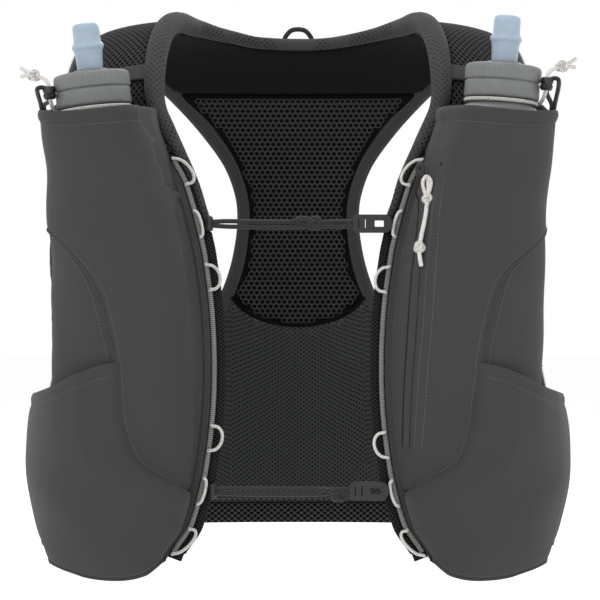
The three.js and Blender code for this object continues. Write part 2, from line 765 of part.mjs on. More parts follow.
// Lace loops down the front edges, by the drop of their middles.
const laceDrops = {
  right: [0.270, 0.362, 0.457, 0.742, 0.836, 0.925],
  left: [0.272, 0.362, 0.461, 0.754, 0.840, 0.928],
};
const laceHalfHeight = 8.2;
const laceReach = 8.5;
const strapLaceReach = 3.2;
const laceSeat = 6 + seamGap + laceDiameter / 2;
function laceLoop(side, drop, reachIn) {
  const place = (down, inward, height) => {
    const z = -drop * hemDrop - down;
    const p = raised(besideEdge(side, cordingReach, z), height);
    p.x -= side * inward;
    return p;
  };
  return cord([
    place(-laceHalfHeight, -0.6, laceSeat),
    place(-laceHalfHeight * 0.55, reachIn * 0.45, laceSeat),
    place(0, reachIn, laceSeat + 0.5),
    place(laceHalfHeight * 0.55, reachIn * 0.45, laceSeat),
    place(laceHalfHeight, -0.6, laceSeat),
  ], laceDiameter, 6, 6);
}

for (const [name, side] of sides) {
  laceDrops[name].forEach((drop, i) => {
    const held = i === 1 || i === 4;
    add(`lash_loop_${name}_${i + 1}`, laceLoop(side, drop, held ? strapLaceReach : laceReach), 'lace');
  });
}

// Sternum cords: two strands with a knot, an end toggle and an open clip.
// Drops are shares of hemDrop, as the lace loops' are, and knots sit back from the clip.
const straps = [
  { name: 'upper', drop: 0.3622, knotBack: 24.4, knotDrop: 0 },
  { name: 'lower', drop: 0.8351, knotBack: 6.9, knotDrop: 2.8 },
];
const toggleLength = 5;
const toggleHeight = 10.4;
const toggleThickness = 6.4;
const knotSize = { x: 6.2, y: 3.4, z: 4.6 };
const clipWindow = { place: 0.30, width: 7.4, height: 0.5 };
const cordSlot = { place: 0.74, width: 2, height: 0.62 };
for (const strap of straps) {
  const z = -strap.drop * hemDrop;
  const edge = edgeReach(z) * chestHalfWidth + cordingReach * chestHalfWidth;
  const y = raised(spot(1, edgeReach(z) + cordingReach, z, -1), laceSeat).y - 0.5;
  const toggleX = -(edge - strapLaceReach - laceDiameter / 2 - seamGap - toggleLength / 2);
  const clipEnd = edge - strapLaceReach - laceDiameter / 2 - seamGap;
  const from = toggleX + toggleLength / 2 + seamGap;
  const to = clipEnd - clipLength - seamGap;
  const strand = (rise) => {
    const body = new THREE.CylinderGeometry(
      sternumCordDiameter / 2, sternumCordDiameter / 2, to - from, 8, 1,
    );
    return body.rotateZ(Math.PI / 2).translate((from + to) / 2, y, z + rise);
  };
  const knotX = to - strap.knotBack;
  const knot = new THREE.SphereGeometry(1, 8, 6).scale(knotSize.x, knotSize.y, knotSize.z)
    .translate(knotX, y, z - strap.knotDrop);
  const tail = cord([
    new THREE.Vector3(knotX - 3, y, z - strap.knotDrop + 1),
    new THREE.Vector3(knotX - 8, y - 1.5, z - strap.knotDrop + 2.4),
    new THREE.Vector3(knotX - 13, y - 1.6, z - strap.knotDrop + 2.2),
  ], sternumCordDiameter, 8, 4);
  const half = strandSpacing / 2;
  add(`sternum_cord_${strap.name}`, joined(strand(half), strand(-half), knot, tail), 'darkCord');

  const toggle = new THREE.SphereGeometry(1, 10, 6)
    .scale(toggleLength / 2, toggleThickness / 2, toggleHeight / 2).translate(toggleX, y, z);
  add(`sternum_toggle_${strap.name}`, toggle, 'hardware');

  const plate = new THREE.BoxGeometry(clipLength, clipThickness, clipHeight)
    .translate(clipEnd - clipLength / 2, y, z);
  const opening = ({ place, width, height }) => new THREE.BoxGeometry(
    width, clipThickness + 2, clipHeight * height,
  ).translate(clipEnd - clipLength * place, y, z);
  add(`sternum_clip_${strap.name}`, cut(plate, opening(clipWindow), opening(cordSlot)), 'hardware');
}

// Soft flasks with screw caps and bite valves, leaning out at the top. They stand
// in front of the chest form at one reach.
const flaskPlaceReach = 0.79167;
const flaskReach = flaskPlaceReach * chestHalfWidth;
const capAboveRim = 3.4;
function flaskPlace(name, side) {
  const forward = flaskStandoff[name] - depthAt(flaskPlaceReach, -1);
  const lean = side * radians(flaskLean[name]);
  return new THREE.Matrix4().makeRotationY(lean)
    .setPosition(side * flaskReach, -forward, capAboveRim - sleeveRimDrop + flaskRise[name]);
}
const flaskRows = [
  { down: 0.000, wide: 0.75, deep: 1.08 },
  { down: 0.022, wide: 0.75, deep: 1.08 },
  { down: 0.030, wide: 0.90, deep: 1.10 },
  { down: 0.070, wide: 0.92, deep: 1.04 },
  { down: 0.350, wide: 1.00, deep: 1.00 },
  { down: 0.700, wide: 0.94, deep: 0.86 },
  { down: 0.900, wide: 0.80, deep: 0.60 },
  { down: 0.970, wide: 0.62, deep: 0.36 },
  { down: 1.000, wide: 0.40, deep: 0.16 },
];
const flaskSides = 12;
function flaskBody() {
  const rings = flaskRows.map((row) => {
    const ring = [];
    for (let k = 0; k < flaskSides; k += 1) {
      const angle = 2 * Math.PI * k / flaskSides;
      ring.push(new THREE.Vector3(
        Math.cos(angle) * flaskWidth / 2 * row.wide,
        Math.sin(angle) * flaskDepth / 2 * row.deep,
        -row.down * flaskLength,
      ));
    }
    return ring;
  });
  return loft(rings, false);
}

// A body turned from a profile of radius and height, upright on Z.
function turned(profile, segments) {
  const points = profile.map(([radius, height]) => new THREE.Vector2(radius, height));
  return new THREE.LatheGeometry(points, segments).rotateX(Math.PI / 2);
}

function flaskCap() {
  const radius = capDiameter / 2;
  const top = capRingHeight + capTopHeight;
  return turned([
    [0, 0], [radius - 0.8, 0], [radius - 0.4, 0.8], [radius - 0.4, capRingHeight - 0.8],
    [radius - 1.2, capRingHeight], [radius, capRingHeight + 0.8], [radius, top - 2],
    [radius - 2, top], [0, top],
  ], 20);
}

function biteValve() {
  const radius = valveDiameter / 2;
  return turned([
    [0, 0], [radius * 0.84, 0], [radius * 0.82, valveHeight * 0.36], [radius, valveHeight * 0.42],
    [radius, valveHeight * 0.50], [radius * 0.86, valveHeight * 0.56],
    [radius * 0.88, valveHeight * 0.92], [radius * 0.78, valveHeight], [0, valveHeight],
  ], 16);
}

const neckCordDrop = 2;
function neckCordRing() {
  const points = [];
  const radius = flaskNeckDiameter / 2 + seamGap + neckCordDiameter / 2;
  for (let k = 0; k < 16; k += 1) {
    const angle = 2 * Math.PI * k / 16;
    points.push(new THREE.Vector3(Math.cos(angle) * radius, Math.sin(angle) * radius, -neckCordDrop));
  }
  return cord(points, neckCordDiameter, 6, 14, true);
}

for (const [name, side] of sides) {
  const holder = new THREE.Group();
  holder.applyMatrix4(flaskPlace(name, side));
  const put = (meshName, geometry, finish) => {
    const mesh = new THREE.Mesh(geometry, new THREE.MeshStandardMaterial(finishes[finish]));
    mesh.name = meshName;
    holder.add(mesh);
    return mesh;
  };
  const body = put(`flask_body_${name}`, flaskBody(), 'flask');
  body.position.z = -seamGap;
  body.rotation.z = side * radians(flaskTwist);
  put(`flask_cap_${name}`, flaskCap(), 'cap');
  put(`bite_valve_${name}`, biteValve(), 'silicone').position.z = capRingHeight + capTopHeight
    + seamGap;
  vest.add(holder);
}

// The white cord round each flask's neck, its lock and the loop that ties it to the sleeve.
for (const [name, side] of sides) {
  const turn = flaskPlace(name, side);
  const ring = neckCordRing().applyMatrix4(turn);
  const ringRadius = flaskNeckDiameter / 2 + seamGap + neckCordDiameter / 2;
  const leave = new THREE.Vector3(side * ringRadius, 0, -neckCordDrop).applyMatrix4(turn);
  const at = (x, y, z) => new THREE.Vector3(leave.x + side * x, leave.y + y, leave.z + z);
  const tail = cord([
    leave, at(2.8, -5, 1.6), at(5.1, -10, 7.8), at(6.3, -10, 17.8), at(8.9, -8, 22), at(14, -7, 24),
  ], neckCordDiameter, 6, 8);
  const knot = new THREE.SphereGeometry(1, 7, 5).scale(4.6, 3.4, 3.4).translate(...at(16, -7, 24.5));
  const ends = [
    cord([at(17, -7, 25), at(21, -7, 27), at(25, -7, 29.5)], neckCordDiameter, 6, 2),
    cord([at(17, -7.5, 24), at(21, -8, 24.6), at(24.5, -8, 23.6)], neckCordDiameter, 6, 2),
  ];
  add(`flask_neck_cord_${name}`, joined(ring, tail, knot, ...ends), 'lace');

  const lockHole = neckCordDiameter / 2 + 2 * seamGap;
  const lockRadius = lockDiameter / 2;
  const lock = turned([
    [lockHole, -4.2], [lockRadius * 0.84, -4.2], [lockRadius, -2.6], [lockRadius, 2.6],
    [lockRadius * 0.84, 4.2], [lockHole, 4.2], [lockHole, -4.2],
  ], 12);
  const low = at(5.1, -10, 7.8);
  const high = at(6.3, -10, 17.8);
  const way = high.clone().sub(low).normalize();
  lock.applyQuaternion(new THREE.Quaternion().setFromUnitVectors(new THREE.Vector3(0, 0, 1), way));
  const middle = low.clone().lerp(high, 0.5);
  lock.translate(...middle);
  add(`cord_lock_${name}`, lock, 'hardware');

  const beside = lockRadius + 4 * seamGap + tetherDiameter / 2;
  const rim = skin(side, 0.94, -sleeveRimDrop);
  const foot = rim.clone().addScaledVector(
    new THREE.Vector3(side, -0.4, 0).normalize(), clothThickness + seamGap + tetherDiameter / 2 + 1,
  );
  const tether = cord([
    new THREE.Vector3(foot.x, foot.y - 3, foot.z - 4),
    new THREE.Vector3(foot.x + side, foot.y - 5, foot.z + 3),
    new THREE.Vector3(middle.x + side * beside, middle.y - 1, middle.z + 3),
    new THREE.Vector3(middle.x + side * 2.5, middle.y + beside, middle.z + 3),
    new THREE.Vector3(middle.x + side, middle.y + beside + 3, middle.z - 3),
    new THREE.Vector3(foot.x, foot.y + 2.5, foot.z + 3),
    new THREE.Vector3(foot.x - side, foot.y + 3.5, foot.z - 2),
  ], tetherDiameter, 6, 12);
  add(`cord_lock_tether_${name}`, tether, 'darkCord');
}

// The zip on the wearer's left sleeve, its slider and its knotted pull.
const zipLine = [
  { drop: 0.285, reach: 0.510 },
  { drop: 0.430, reach: 0.470 },
  { drop: 0.600, reach: 0.440 },
  { drop: 0.755, reach: 0.428 },
];
const zipTop = zipLine[0];
const zipEnd = zipLine[zipLine.length - 1];
function onSkin(side, reach, z) {
  let low = 0;
  let high = 0.6;
  for (let i = 0; i < 30; i += 1) {
    const middle = (low + high) / 2;
    if (Math.abs(skin(side, middle, z).x) < reach * chestHalfWidth) low = middle;
    else high = middle;
  }
  return skin(side, low, z);
}
const zipHigh = 1.5;
{
  const rows = [];
  for (let i = 0; i <= 14; i += 1) {
    const drop = THREE.MathUtils.lerp(zipTop.drop, zipEnd.drop, i / 14);
    const p = onSkin(1, read(zipLine, 'drop', drop, 'reach'), -drop * hemDrop);
    const out = new THREE.Vector3(-0.5, -1, 0).normalize();
    const across = new THREE.Vector3(out.y, -out.x, 0);
    const corner = (s, h) => p.clone().addScaledVector(across, s * zipWidth / 2)
      .addScaledVector(out, clothThickness + 0.7 + h);
    rows.push([corner(-1, 0), corner(1, 0), corner(1, zipHigh), corner(-1, zipHigh)]);
  }
  add('chest_zip', loft(rows, false), 'coil');
}
const sliderPlace = onSkin(1, zipTop.reach, -zipTop.drop * hemDrop);
const sliderLift = clothThickness + zipHigh + 1.2;
add('zip_slider', new THREE.BoxGeometry(5, 2.4, 8)
  .translate(sliderPlace.x - 2, sliderPlace.y - sliderLift, sliderPlace.z + 4.6), 'hardware');

// The pull's route, from the slider down the sleeve.
const pullCordDiameter = 2.8;
const pullRoute = [
  { x: 84.0, y: -129.6, z: -104.6 },
  { x: 84.4, y: -131.8, z: -111 },
  { x: 83.6, y: -133.6, z: -119 },
  { x: 82.8, y: -135.8, z: -126 },
  { x: 81.4, y: -137.2, z: -134 },
  { x: 79.6, y: -138.2, z: -142 },
  { x: 78.2, y: -139.2, z: -150 },
  { x: 78.4, y: -140.2, z: -157 },
  { x: 79.2, y: -142.2, z: -162 },
];
add('zip_pull_cord', cord(
  pullRoute.map(({ x, y, z }) => new THREE.Vector3(x, y, z)), pullCordDiameter, 8, 10,
), 'lace');

// The hang loop at the back of the neck.
const hangHalf = 9;
const neckMiddle = neckLine[neckLine.length - 1];
const neckBack = over(1, neckMiddle.reach, neckMiddle.climb);
const neckTop = neckBack.z + rollDiameter / 2 * neckMiddle.girth * 1.5
  + hangLoopDiameter / 2 + seamGap;
add('hang_loop', cord([
  new THREE.Vector3(-hangHalf - 1, neckBack.y + 4, neckTop - 2),
  new THREE.Vector3(-hangHalf, neckBack.y + 3.4, neckTop + 0.5),
  new THREE.Vector3(-hangHalf * 0.5, neckBack.y + 3, neckTop + 5),
  new THREE.Vector3(hangHalf * 0.5, neckBack.y + 3, neckTop + 5),
  new THREE.Vector3(hangHalf, neckBack.y + 3.4, neckTop + 0.5),
  new THREE.Vector3(hangHalf + 1, neckBack.y + 4, neckTop - 2),
], hangLoopDiameter, 8, 10), 'darkCord');

export default vest;
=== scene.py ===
# A running hydration vest with two soft flasks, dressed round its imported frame.
import math

import bmesh
import bpy
import numpy as np
from mathutils import Matrix, Vector, noise


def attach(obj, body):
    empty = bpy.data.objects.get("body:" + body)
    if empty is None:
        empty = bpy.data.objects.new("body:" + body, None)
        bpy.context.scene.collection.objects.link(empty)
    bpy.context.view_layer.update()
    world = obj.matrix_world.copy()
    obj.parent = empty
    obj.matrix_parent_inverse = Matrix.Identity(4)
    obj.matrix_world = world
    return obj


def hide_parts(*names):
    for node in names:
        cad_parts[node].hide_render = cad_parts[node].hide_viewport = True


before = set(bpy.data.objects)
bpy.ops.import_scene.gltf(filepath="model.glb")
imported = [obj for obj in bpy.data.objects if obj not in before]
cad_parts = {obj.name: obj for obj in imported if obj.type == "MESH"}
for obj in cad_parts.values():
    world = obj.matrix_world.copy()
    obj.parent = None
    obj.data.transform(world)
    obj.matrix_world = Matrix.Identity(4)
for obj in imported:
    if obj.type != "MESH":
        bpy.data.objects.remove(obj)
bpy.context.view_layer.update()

bl_info = {
    "name": "Running hydration vest",
    "version": (1, 0, 0),
    "blender": (4, 5, 0),
    "location": "View3D > Sidebar > Vest",
    "description": "Cloth, mesh, cords and flasks of a running hydration vest",
    "category": "Object",
}

MM = 0.001
SIDES = {"right": -1, "left": 1}

# The chest form, in millimetres, as the frame has it.
HALF_WIDTH, FRONT_DEPTH, BACK_DEPTH = 168.0, 106.0, 112.0
CREST, BEND, HEM = 6.0, 120.0, 370.0
PLAN, SIDEWAYS, SHOULDER = 2.6, 2.5, 5.0
PAD, BACK_PAD, CLOTH = 5.0, 6.0, 1.6
ROLL = 15.0

# Lines on the form. A drop is a share of HEM, a reach is a share of HALF_WIDTH, a climb goes over the
# shoulder, and a place across goes over the flask's skin from the front edge to the side.
# The front edge: drop, reach.
EDGE = [(0.954, 0.503), (0.895, 0.425), (0.813, 0.375), (0.708, 0.344), (0.611, 0.336),
        (0.511, 0.346), (0.414, 0.374), (0.343, 0.410), (0.286, 0.450), (0.243, 0.500),
        (0.200, 0.530), (0.154, 0.540)]
# The neck roll: climb, reach, girth as a share of ROLL.
ROLL_LINE = [(-0.06, 0.348, 0.26), (0.0, 0.378, 0.30), (0.09, 0.436, 0.40), (0.147, 0.480, 0.58),
             (0.273, 0.548, 0.80), (0.40, 0.562, 0.94), (0.64, 0.545, 1.00), (0.86, 0.505, 1.00),
             (1.04, 0.440, 0.86), (1.15, 0.330, 0.66), (1.235, 0.170, 0.56), (1.26, 0.0, 0.56)]
# The armhole: drop, reach, front (-1) or back (1), width of the binding as a share.
ARMHOLE = [(0.150, 0.930, -1, 0.70), (0.240, 0.945, -1, 0.70), (0.360, 0.945, -1, 0.70),
           (0.500, 0.945, -1, 0.70), (0.610, 0.950, -1, 0.70), (0.664, 0.978, -1, 0.80),
           (0.680, 1.000, 1, 0.90), (0.682, 0.955, 1, 1.00), (0.672, 0.840, 1, 1.00),
           (0.632, 0.630, 1, 1.05), (0.570, 0.430, 1, 1.10), (0.505, 0.330, 1, 1.10),
           (0.440, 0.275, 1, 1.05), (0.375, 0.247, 1, 1.00), (0.330, 0.240, 1, 1.00),
           (0.290, 0.248, 1, 1.00), (0.230, 0.292, 1, 1.05), (0.168, 0.384, 1, 1.10),
           (0.105, 0.510, 1, 1.10), (0.055, 0.640, 1, 1.00), (0.020, 0.760, 1, 0.90),
           (0.020, 0.858, -1, 0.70), (0.075, 0.900, -1, 0.70)]
# The hem: reach, drop.
HEMLINE = [(0.36, 0.870), (0.40, 0.905), (0.47, 0.955), (0.56, 0.986), (0.69, 1.000),
           (0.84, 0.987), (0.94, 0.973), (1.00, 0.952)]
# The sleeve's outer seam: drop, place across.
SEAM = [(0.343, 1.00), (0.360, 0.93), (0.384, 0.76), (0.414, 0.63), (0.449, 0.54), (0.490, 0.50),
        (0.600, 0.46), (0.708, 0.45), (0.754, 0.42), (0.786, 0.36), (0.832, 0.10)]
# How far the skin stands off the chest: drop, share of LIFT.
SWELL = [(0.150, 1.42), (0.200, 1.28), (0.286, 1.09), (0.430, 1.00), (0.600, 0.94),
         (0.720, 0.78), (0.830, 0.52), (0.920, 0.30), (1.000, 0.10)]
# The mouth of the lower pocket: place across, drop.
MOUTH = [(0.46, 0.604), (0.70, 0.640), (1.00, 0.664), (1.35, 0.676)]
# The side edge of the back mesh: drop, reach.
BACK_SEAM = [(0.098, 0.470), (0.154, 0.352), (0.221, 0.262), (0.295, 0.207), (0.360, 0.204),
             (0.430, 0.226), (0.500, 0.284), (0.548, 0.344)]
# The top of the lumbar panel: reach, drop.
LUMBAR_TOP = [(0.284, 0.498), (0.310, 0.526), (0.405, 0.592), (0.500, 0.624), (0.615, 0.656),
              (0.700, 0.672)]
# The shoulder panel: climb, inner reach, outer reach.
SHOULDERS = [(0.94, 0.484, 0.800), (1.04, 0.484, 0.790), (1.15, 0.484, 0.765),
             (1.28, 0.484, 0.722), (1.42, 0.484, 0.642), (1.56, 0.484, 0.545)]


def read(table, place, column=1):
    """Read a table at a place between its rows, on a smooth curve."""
    rows = table if table[-1][0] > table[0][0] else table[::-1]
    if place <= rows[0][0]:
        return rows[0][column]
    if place >= rows[-1][0]:
        return rows[-1][column]
    i = 0
    while rows[i + 1][0] < place:
        i += 1
    t = (place - rows[i][0]) / (rows[i + 1][0] - rows[i][0])
    before, after = rows[max(i - 1, 0)][column], rows[min(i + 2, len(rows) - 1)][column]
    a, b = rows[i][column], rows[i + 1][column]
    return 0.5 * (2 * a + (b - before) * t + (2 * before - 5 * a + 4 * b - after) * t * t
                  + (3 * a - before - 3 * b + after) * t ** 3)


def lerp(a, b, t):
    return a + (b - a) * t


def smooth(x, low, high):
    t = min(1.0, max(0.0, (x - low) / (high - low)))
    return t * t * (3 - 2 * t)


def power(value, exponent):
    return math.copysign(abs(value) ** exponent, value)


def crest_at(reach):
    return -BEND + (CREST + BEND) * max(0.0, 1 - abs(reach) ** SHOULDER) ** (1 / SHOULDER)


def depth_at(reach, face):
    depth = FRONT_DEPTH if face < 0 else BACK_DEPTH
    return face * depth * max(0.0, 1 - abs(reach) ** PLAN) ** (1 / PLAN)


def spot(side, reach, z, face):
    """A point of the chest form at a reach and a height, front (-1) or back (1)."""
    rise = max(0.0, (z + BEND) / max(1e-6, crest_at(reach) + BEND))
    lean = max(0.0, 1 - rise ** SIDEWAYS) ** (1 / SIDEWAYS)
    return Vector((side * reach * HALF_WIDTH, depth_at(reach, face) * lean, z))


def over(side, reach, climb):
    """A point of the form by its climb over the shoulder: 1 is the crest, 2 the back's bend."""
    face = -1 if climb < 1 else 1
    turn = climb if face < 0 else 2 - climb
    if turn < 0:
        return spot(side, reach, -BEND + turn * (HEM - BEND), face)
    angle = turn * math.pi / 2
    z = -BEND + (crest_at(reach) + BEND) * math.sin(angle) ** (2 / SIDEWAYS)
    y = depth_at(reach, face) * max(0.0, math.cos(angle)) ** (2 / SIDEWAYS)
    return Vector((side * reach * HALF_WIDTH, y, z))


def around(side, degrees, z):
    """A point of the form at a turn round the body and a height."""
    angle = math.radians(degrees)
    depth = FRONT_DEPTH if degrees < 90 else BACK_DEPTH
    return Vector((side * math.sin(angle) ** (2 / PLAN) * HALF_WIDTH,
                   -depth * power(math.cos(angle), 2 / PLAN), z))


def outward(p):
    """The way out of the form at a point."""
    depth = FRONT_DEPTH if p.y < 0 else BACK_DEPTH
    rise = max(0.0, (p.z + BEND) / (CREST + BEND))
    return Vector((power(p.x / HALF_WIDTH, PLAN - 1) / HALF_WIDTH,
                   power(p.y / depth, PLAN - 1) / depth,
                   rise ** (SIDEWAYS - 1) / (CREST + BEND))).normalized()


def raised(p, height):
    return p + outward(p) * height


def edge_reach(z):
    return read(EDGE, -z / HEM)


def beside_edge(side, shift, z):
    """A point beside the front edge, shifted square to it."""
    slope = (edge_reach(z + 2) - edge_reach(z - 2)) * HALF_WIDTH / 4
    return spot(side, edge_reach(z) + shift * math.hypot(1, slope), z, -1)


def roll_edge(climb):
    girth = read(ROLL_LINE, climb, 2) * ROLL / 2
    return read(ROLL_LINE, climb) + girth / HALF_WIDTH


def hem_at(reach):
    return -HEM * read(HEMLINE, reach)


# Where the panels start and end, as shares of the form.
PANEL_OUTER, CREST_OUTER, PANEL_TOP, SHOULDER_END = 0.905, 0.80, 0.93, 1.56
CORDING_TOP, TRIM_TOP, EDGE_BOTTOM, CORDING_SHIFT = 0.25, 0.378, 0.945, -0.012
SLEEVE_END, SIDE_TOP, SIDE_END, POCKET_REACH = 0.832, 0.350, 0.93, 1.4
SKIN_SHIFT, SKIN_TUCK, ROLL_COVER = 0.03, 0.038, 0.62
POCKET_FROM, POCKET_LOW_FROM, POCKET_BLEND, POCKET_EDGE = 0.448, 0.03, 1.08, 0.46
WING_TOP_FRONT, WING_TOP_BACK, WING_LOW_FRONT = 0.700, 0.706, 0.952
YOKE_HALF, YOKE_LOW = 0.62, 0.088
SMILE, SMILE_RISE, SMILE_HALF = 0.548, 0.056, 0.3
LUMBAR_HALF, LUMBAR_LOW, BAND_LOW = 0.70, 0.905, 0.946
STOW_TOP, STOW_END, STOW_TOP_HALF, STOW_HALF = 0.60, 0.925, 0.50, 0.62
# Sizes in millimetres. LEAN is how far sideways the skin stands off for each millimetre forward.
CORDING_WIDTH, TRIM_WIDTH, STOW_DEPTH = 3.6, 5.0, 16.0
LIFT, LEAN, CLOTH_OUT, POCKET_END_OUT = 53.5, 0.34, 5.4, 2.8
RIM_DROP, RIM_HEM, MOUTH_HEM, FULLNESS = 61.0, 8.6, 7.6, 12.0
# Turns round the body from the middle of the front, in degrees.
WING_FRONT, WING_BACK, POCKET_BACK = 61.9, 140.85, 108.0


def skin(side, across, z):
    """The outer skin of the front, which stands off the chest round the flask."""
    beside_roll = SKIN_TUCK * smooth(z, -0.30 * HEM, -0.225 * HEM)
    inner = spot(side, edge_reach(z) + SKIN_SHIFT - beside_roll, z, -1)
    outer = spot(side, PANEL_OUTER - 0.01, z, -1)
    lift = LIFT * read(SWELL, -z / HEM)
    turn = math.pi * min(1.0, max(0.0, across))
    way = (1 - power(math.cos(turn), 0.9)) / 2
    chord = inner.lerp(outer, way)
    p = chord + Vector((side * LEAN, -1, 0)).normalized() * lift * max(0.0, math.sin(turn)) ** 0.5
    over_roll = ROLL * ROLL_COVER * smooth(z, -0.25 * HEM, -0.17 * HEM)
    return p + outward(chord) * (CLOTH_OUT + over_roll * max(0.0, 1 - 1.8 * way) ** 1.7)


def skin_out(side, across, z):
    """The way out of the skin, from its own slope."""
    step = 0.02
    before = skin(side, max(0.0, across - step), z)
    after = skin(side, min(1.0, across + step), z)
    below = skin(side, across, z - 3)
    above = skin(side, across, z + 3)
    normal = (after - before).cross(above - below)
    if normal.length < 1e-6:
        return Vector((side * 0.35, -1, 0)).normalized()
    normal.normalize()
    return normal if normal.y < 0 or normal.x * side > 0.9 else -normal


# Mesh making

def links(new_object):
    bpy.context.scene.collection.objects.link(new_object)
    return new_object


def make_object(name, points, faces, uvs=None):
    """A mesh object from points in millimetres, faces and a UV for each point."""
    mesh = bpy.data.meshes.new(name)
    mesh.from_pydata([tuple(c * MM for c in p) for p in points], [], faces)
    if uvs is not None:
        layer = mesh.uv_layers.new(name="Cloth")
        index = np.empty(len(mesh.loops), dtype=np.int32)
        mesh.loops.foreach_get("vertex_index", index)
        layer.data.foreach_set("uv", np.asarray(uvs, dtype=np.float32)[index].ravel())
    mesh.validate()
    mesh.shade_smooth()
    return links(bpy.data.objects.new(name, mesh))


def outside(obj):
    """Turn the faces of a closed mesh outward."""
    bm = bmesh.new()
    bm.from_mesh(obj.data)
    bmesh.ops.recalc_face_normals(bm, faces=bm.faces)
    if bm.calc_volume(signed=True) < 0:
        bmesh.ops.reverse_faces(bm, faces=bm.faces)
    bm.to_mesh(obj.data)
    bm.free()
    return obj


def shares(count, near=(0.0, 0.006, 0.016, 0.032)):
    """Places from 0 to 1, close together at both ends so that an edge can be round."""
    first = list(near)
    middle = [lerp(near[-1], 1 - near[-1], i / count) for i in range(1, count)]
    return first + middle + [1 - n for n in reversed(near)]


def shell(name, us, vs, at, rounding=0.0):
    """A closed wall of cloth: at(u, v) gives its inner and its outer point."""
    wide, tall = len(us), len(vs)
    low = np.empty((tall, wide, 3))
    high = np.empty((tall, wide, 3))
    for j, v in enumerate(vs):
        for i, u in enumerate(us):
            a, b = at(u, v)
            low[j, i], high[j, i] = a, b
    step_u = np.linalg.norm(np.diff(high, axis=1), axis=2)
    along_u = np.concatenate([np.zeros((tall, 1)), np.cumsum(step_u, axis=1)], axis=1)
    step_v = np.linalg.norm(np.diff(high, axis=0), axis=2)
    along_v = np.concatenate([np.zeros((1, wide)), np.cumsum(step_v, axis=0)], axis=0)
    if rounding:
        to_edge = np.minimum(np.minimum(along_u, along_u[:, -1:] - along_u),
                             np.minimum(along_v, along_v[-1:] - along_v))
        near = np.clip(to_edge / rounding, 0, 1)
        keep = np.sqrt(np.clip(1 - (1 - near) ** 2, 0.02, 1))[..., None]
        middle = (low + high) / 2
        low = middle + (low - middle) * keep
        high = middle + (high - middle) * keep
    centred = along_u - along_u[:, -1:] / 2
    fall = np.broadcast_to(along_v[:, wide // 2:wide // 2 + 1], centred.shape)
    uv = np.stack([centred * MM, fall * MM], axis=2).reshape(-1, 2)
    points = np.concatenate([low.reshape(-1, 3), high.reshape(-1, 3)])
    sheet = wide * tall
    faces = []
    for j in range(tall - 1):
        for i in range(wide - 1):
            a = j * wide + i
            faces.append((a, a + wide, a + wide + 1, a + 1))
            b = a + sheet
            faces.append((b, b + 1, b + wide + 1, b + wide))
    for j in range(tall - 1):
        a, b = j * wide, j * wide + wide - 1
        faces.append((a, a + sheet, a + wide + sheet, a + wide))
        faces.append((b, b + wide, b + wide + sheet, b + sheet))
    for i in range(wide - 1):
        b = (tall - 1) * wide + i
        faces.append((i, i + 1, i + 1 + sheet, i + sheet))
        faces.append((b, b + sheet, b + sheet + 1, b + 1))
    obj = outside(make_object(name, points, faces, np.concatenate([uv, uv])))
    across = float(np.mean(step_u.sum(axis=1))) * MM
    down = float(np.mean(step_v.sum(axis=0))) * MM
    obj["wide"], obj["long"], obj["area"] = across, down, across * down
    return obj


def run_of(points):
    """How far a line has run at each of its points."""
    steps = np.linalg.norm(np.diff(points, axis=0), axis=1)
    return np.concatenate([[0], np.cumsum(steps)])


def read_along(values, run, places):
    """Rows of three values, read at places along their run."""
    return np.stack([np.interp(places, run, values[:, k]) for k in range(3)], axis=-1)


def spline(points, count, closed=False):
    """Evenly spaced points on a smooth curve through points."""
    pts = np.array([tuple(p) for p in points], dtype=float)
    n = len(pts)
    spans = n if closed else n - 1
    dense = []
    for i in range(spans):
        p1, p2 = pts[i % n], pts[(i + 1) % n]
        p0 = pts[(i - 1) % n] if closed or i > 0 else 2 * p1 - p2
        p3 = pts[(i + 2) % n] if closed or i + 2 < n else 2 * p2 - p1
        k1 = max(1e-6, np.linalg.norm(p1 - p0) ** 0.5)
        k2 = max(1e-6, np.linalg.norm(p2 - p1) ** 0.5)
        k3 = max(1e-6, np.linalg.norm(p3 - p2) ** 0.5)
        m1 = (p2 - p1) + k2 * ((p1 - p0) / k1 - (p2 - p0) / (k1 + k2))
        m2 = (p2 - p1) + k2 * ((p3 - p2) / k3 - (p3 - p1) / (k2 + k3))
        for t in np.linspace(0, 1, 16, endpoint=False):
            dense.append((2 * t**3 - 3 * t**2 + 1) * p1 + (t**3 - 2 * t**2 + t) * m1
                         + (-2 * t**3 + 3 * t**2) * p2 + (t**3 - t**2) * m2)
    dense.append(pts[0] if closed else pts[-1])
    dense = np.array(dense)
    run = run_of(dense)
    at = np.linspace(0, run[-1], count + 1)
    if closed:
        at = at[:-1]
    return read_along(dense, run, at), run[-1]


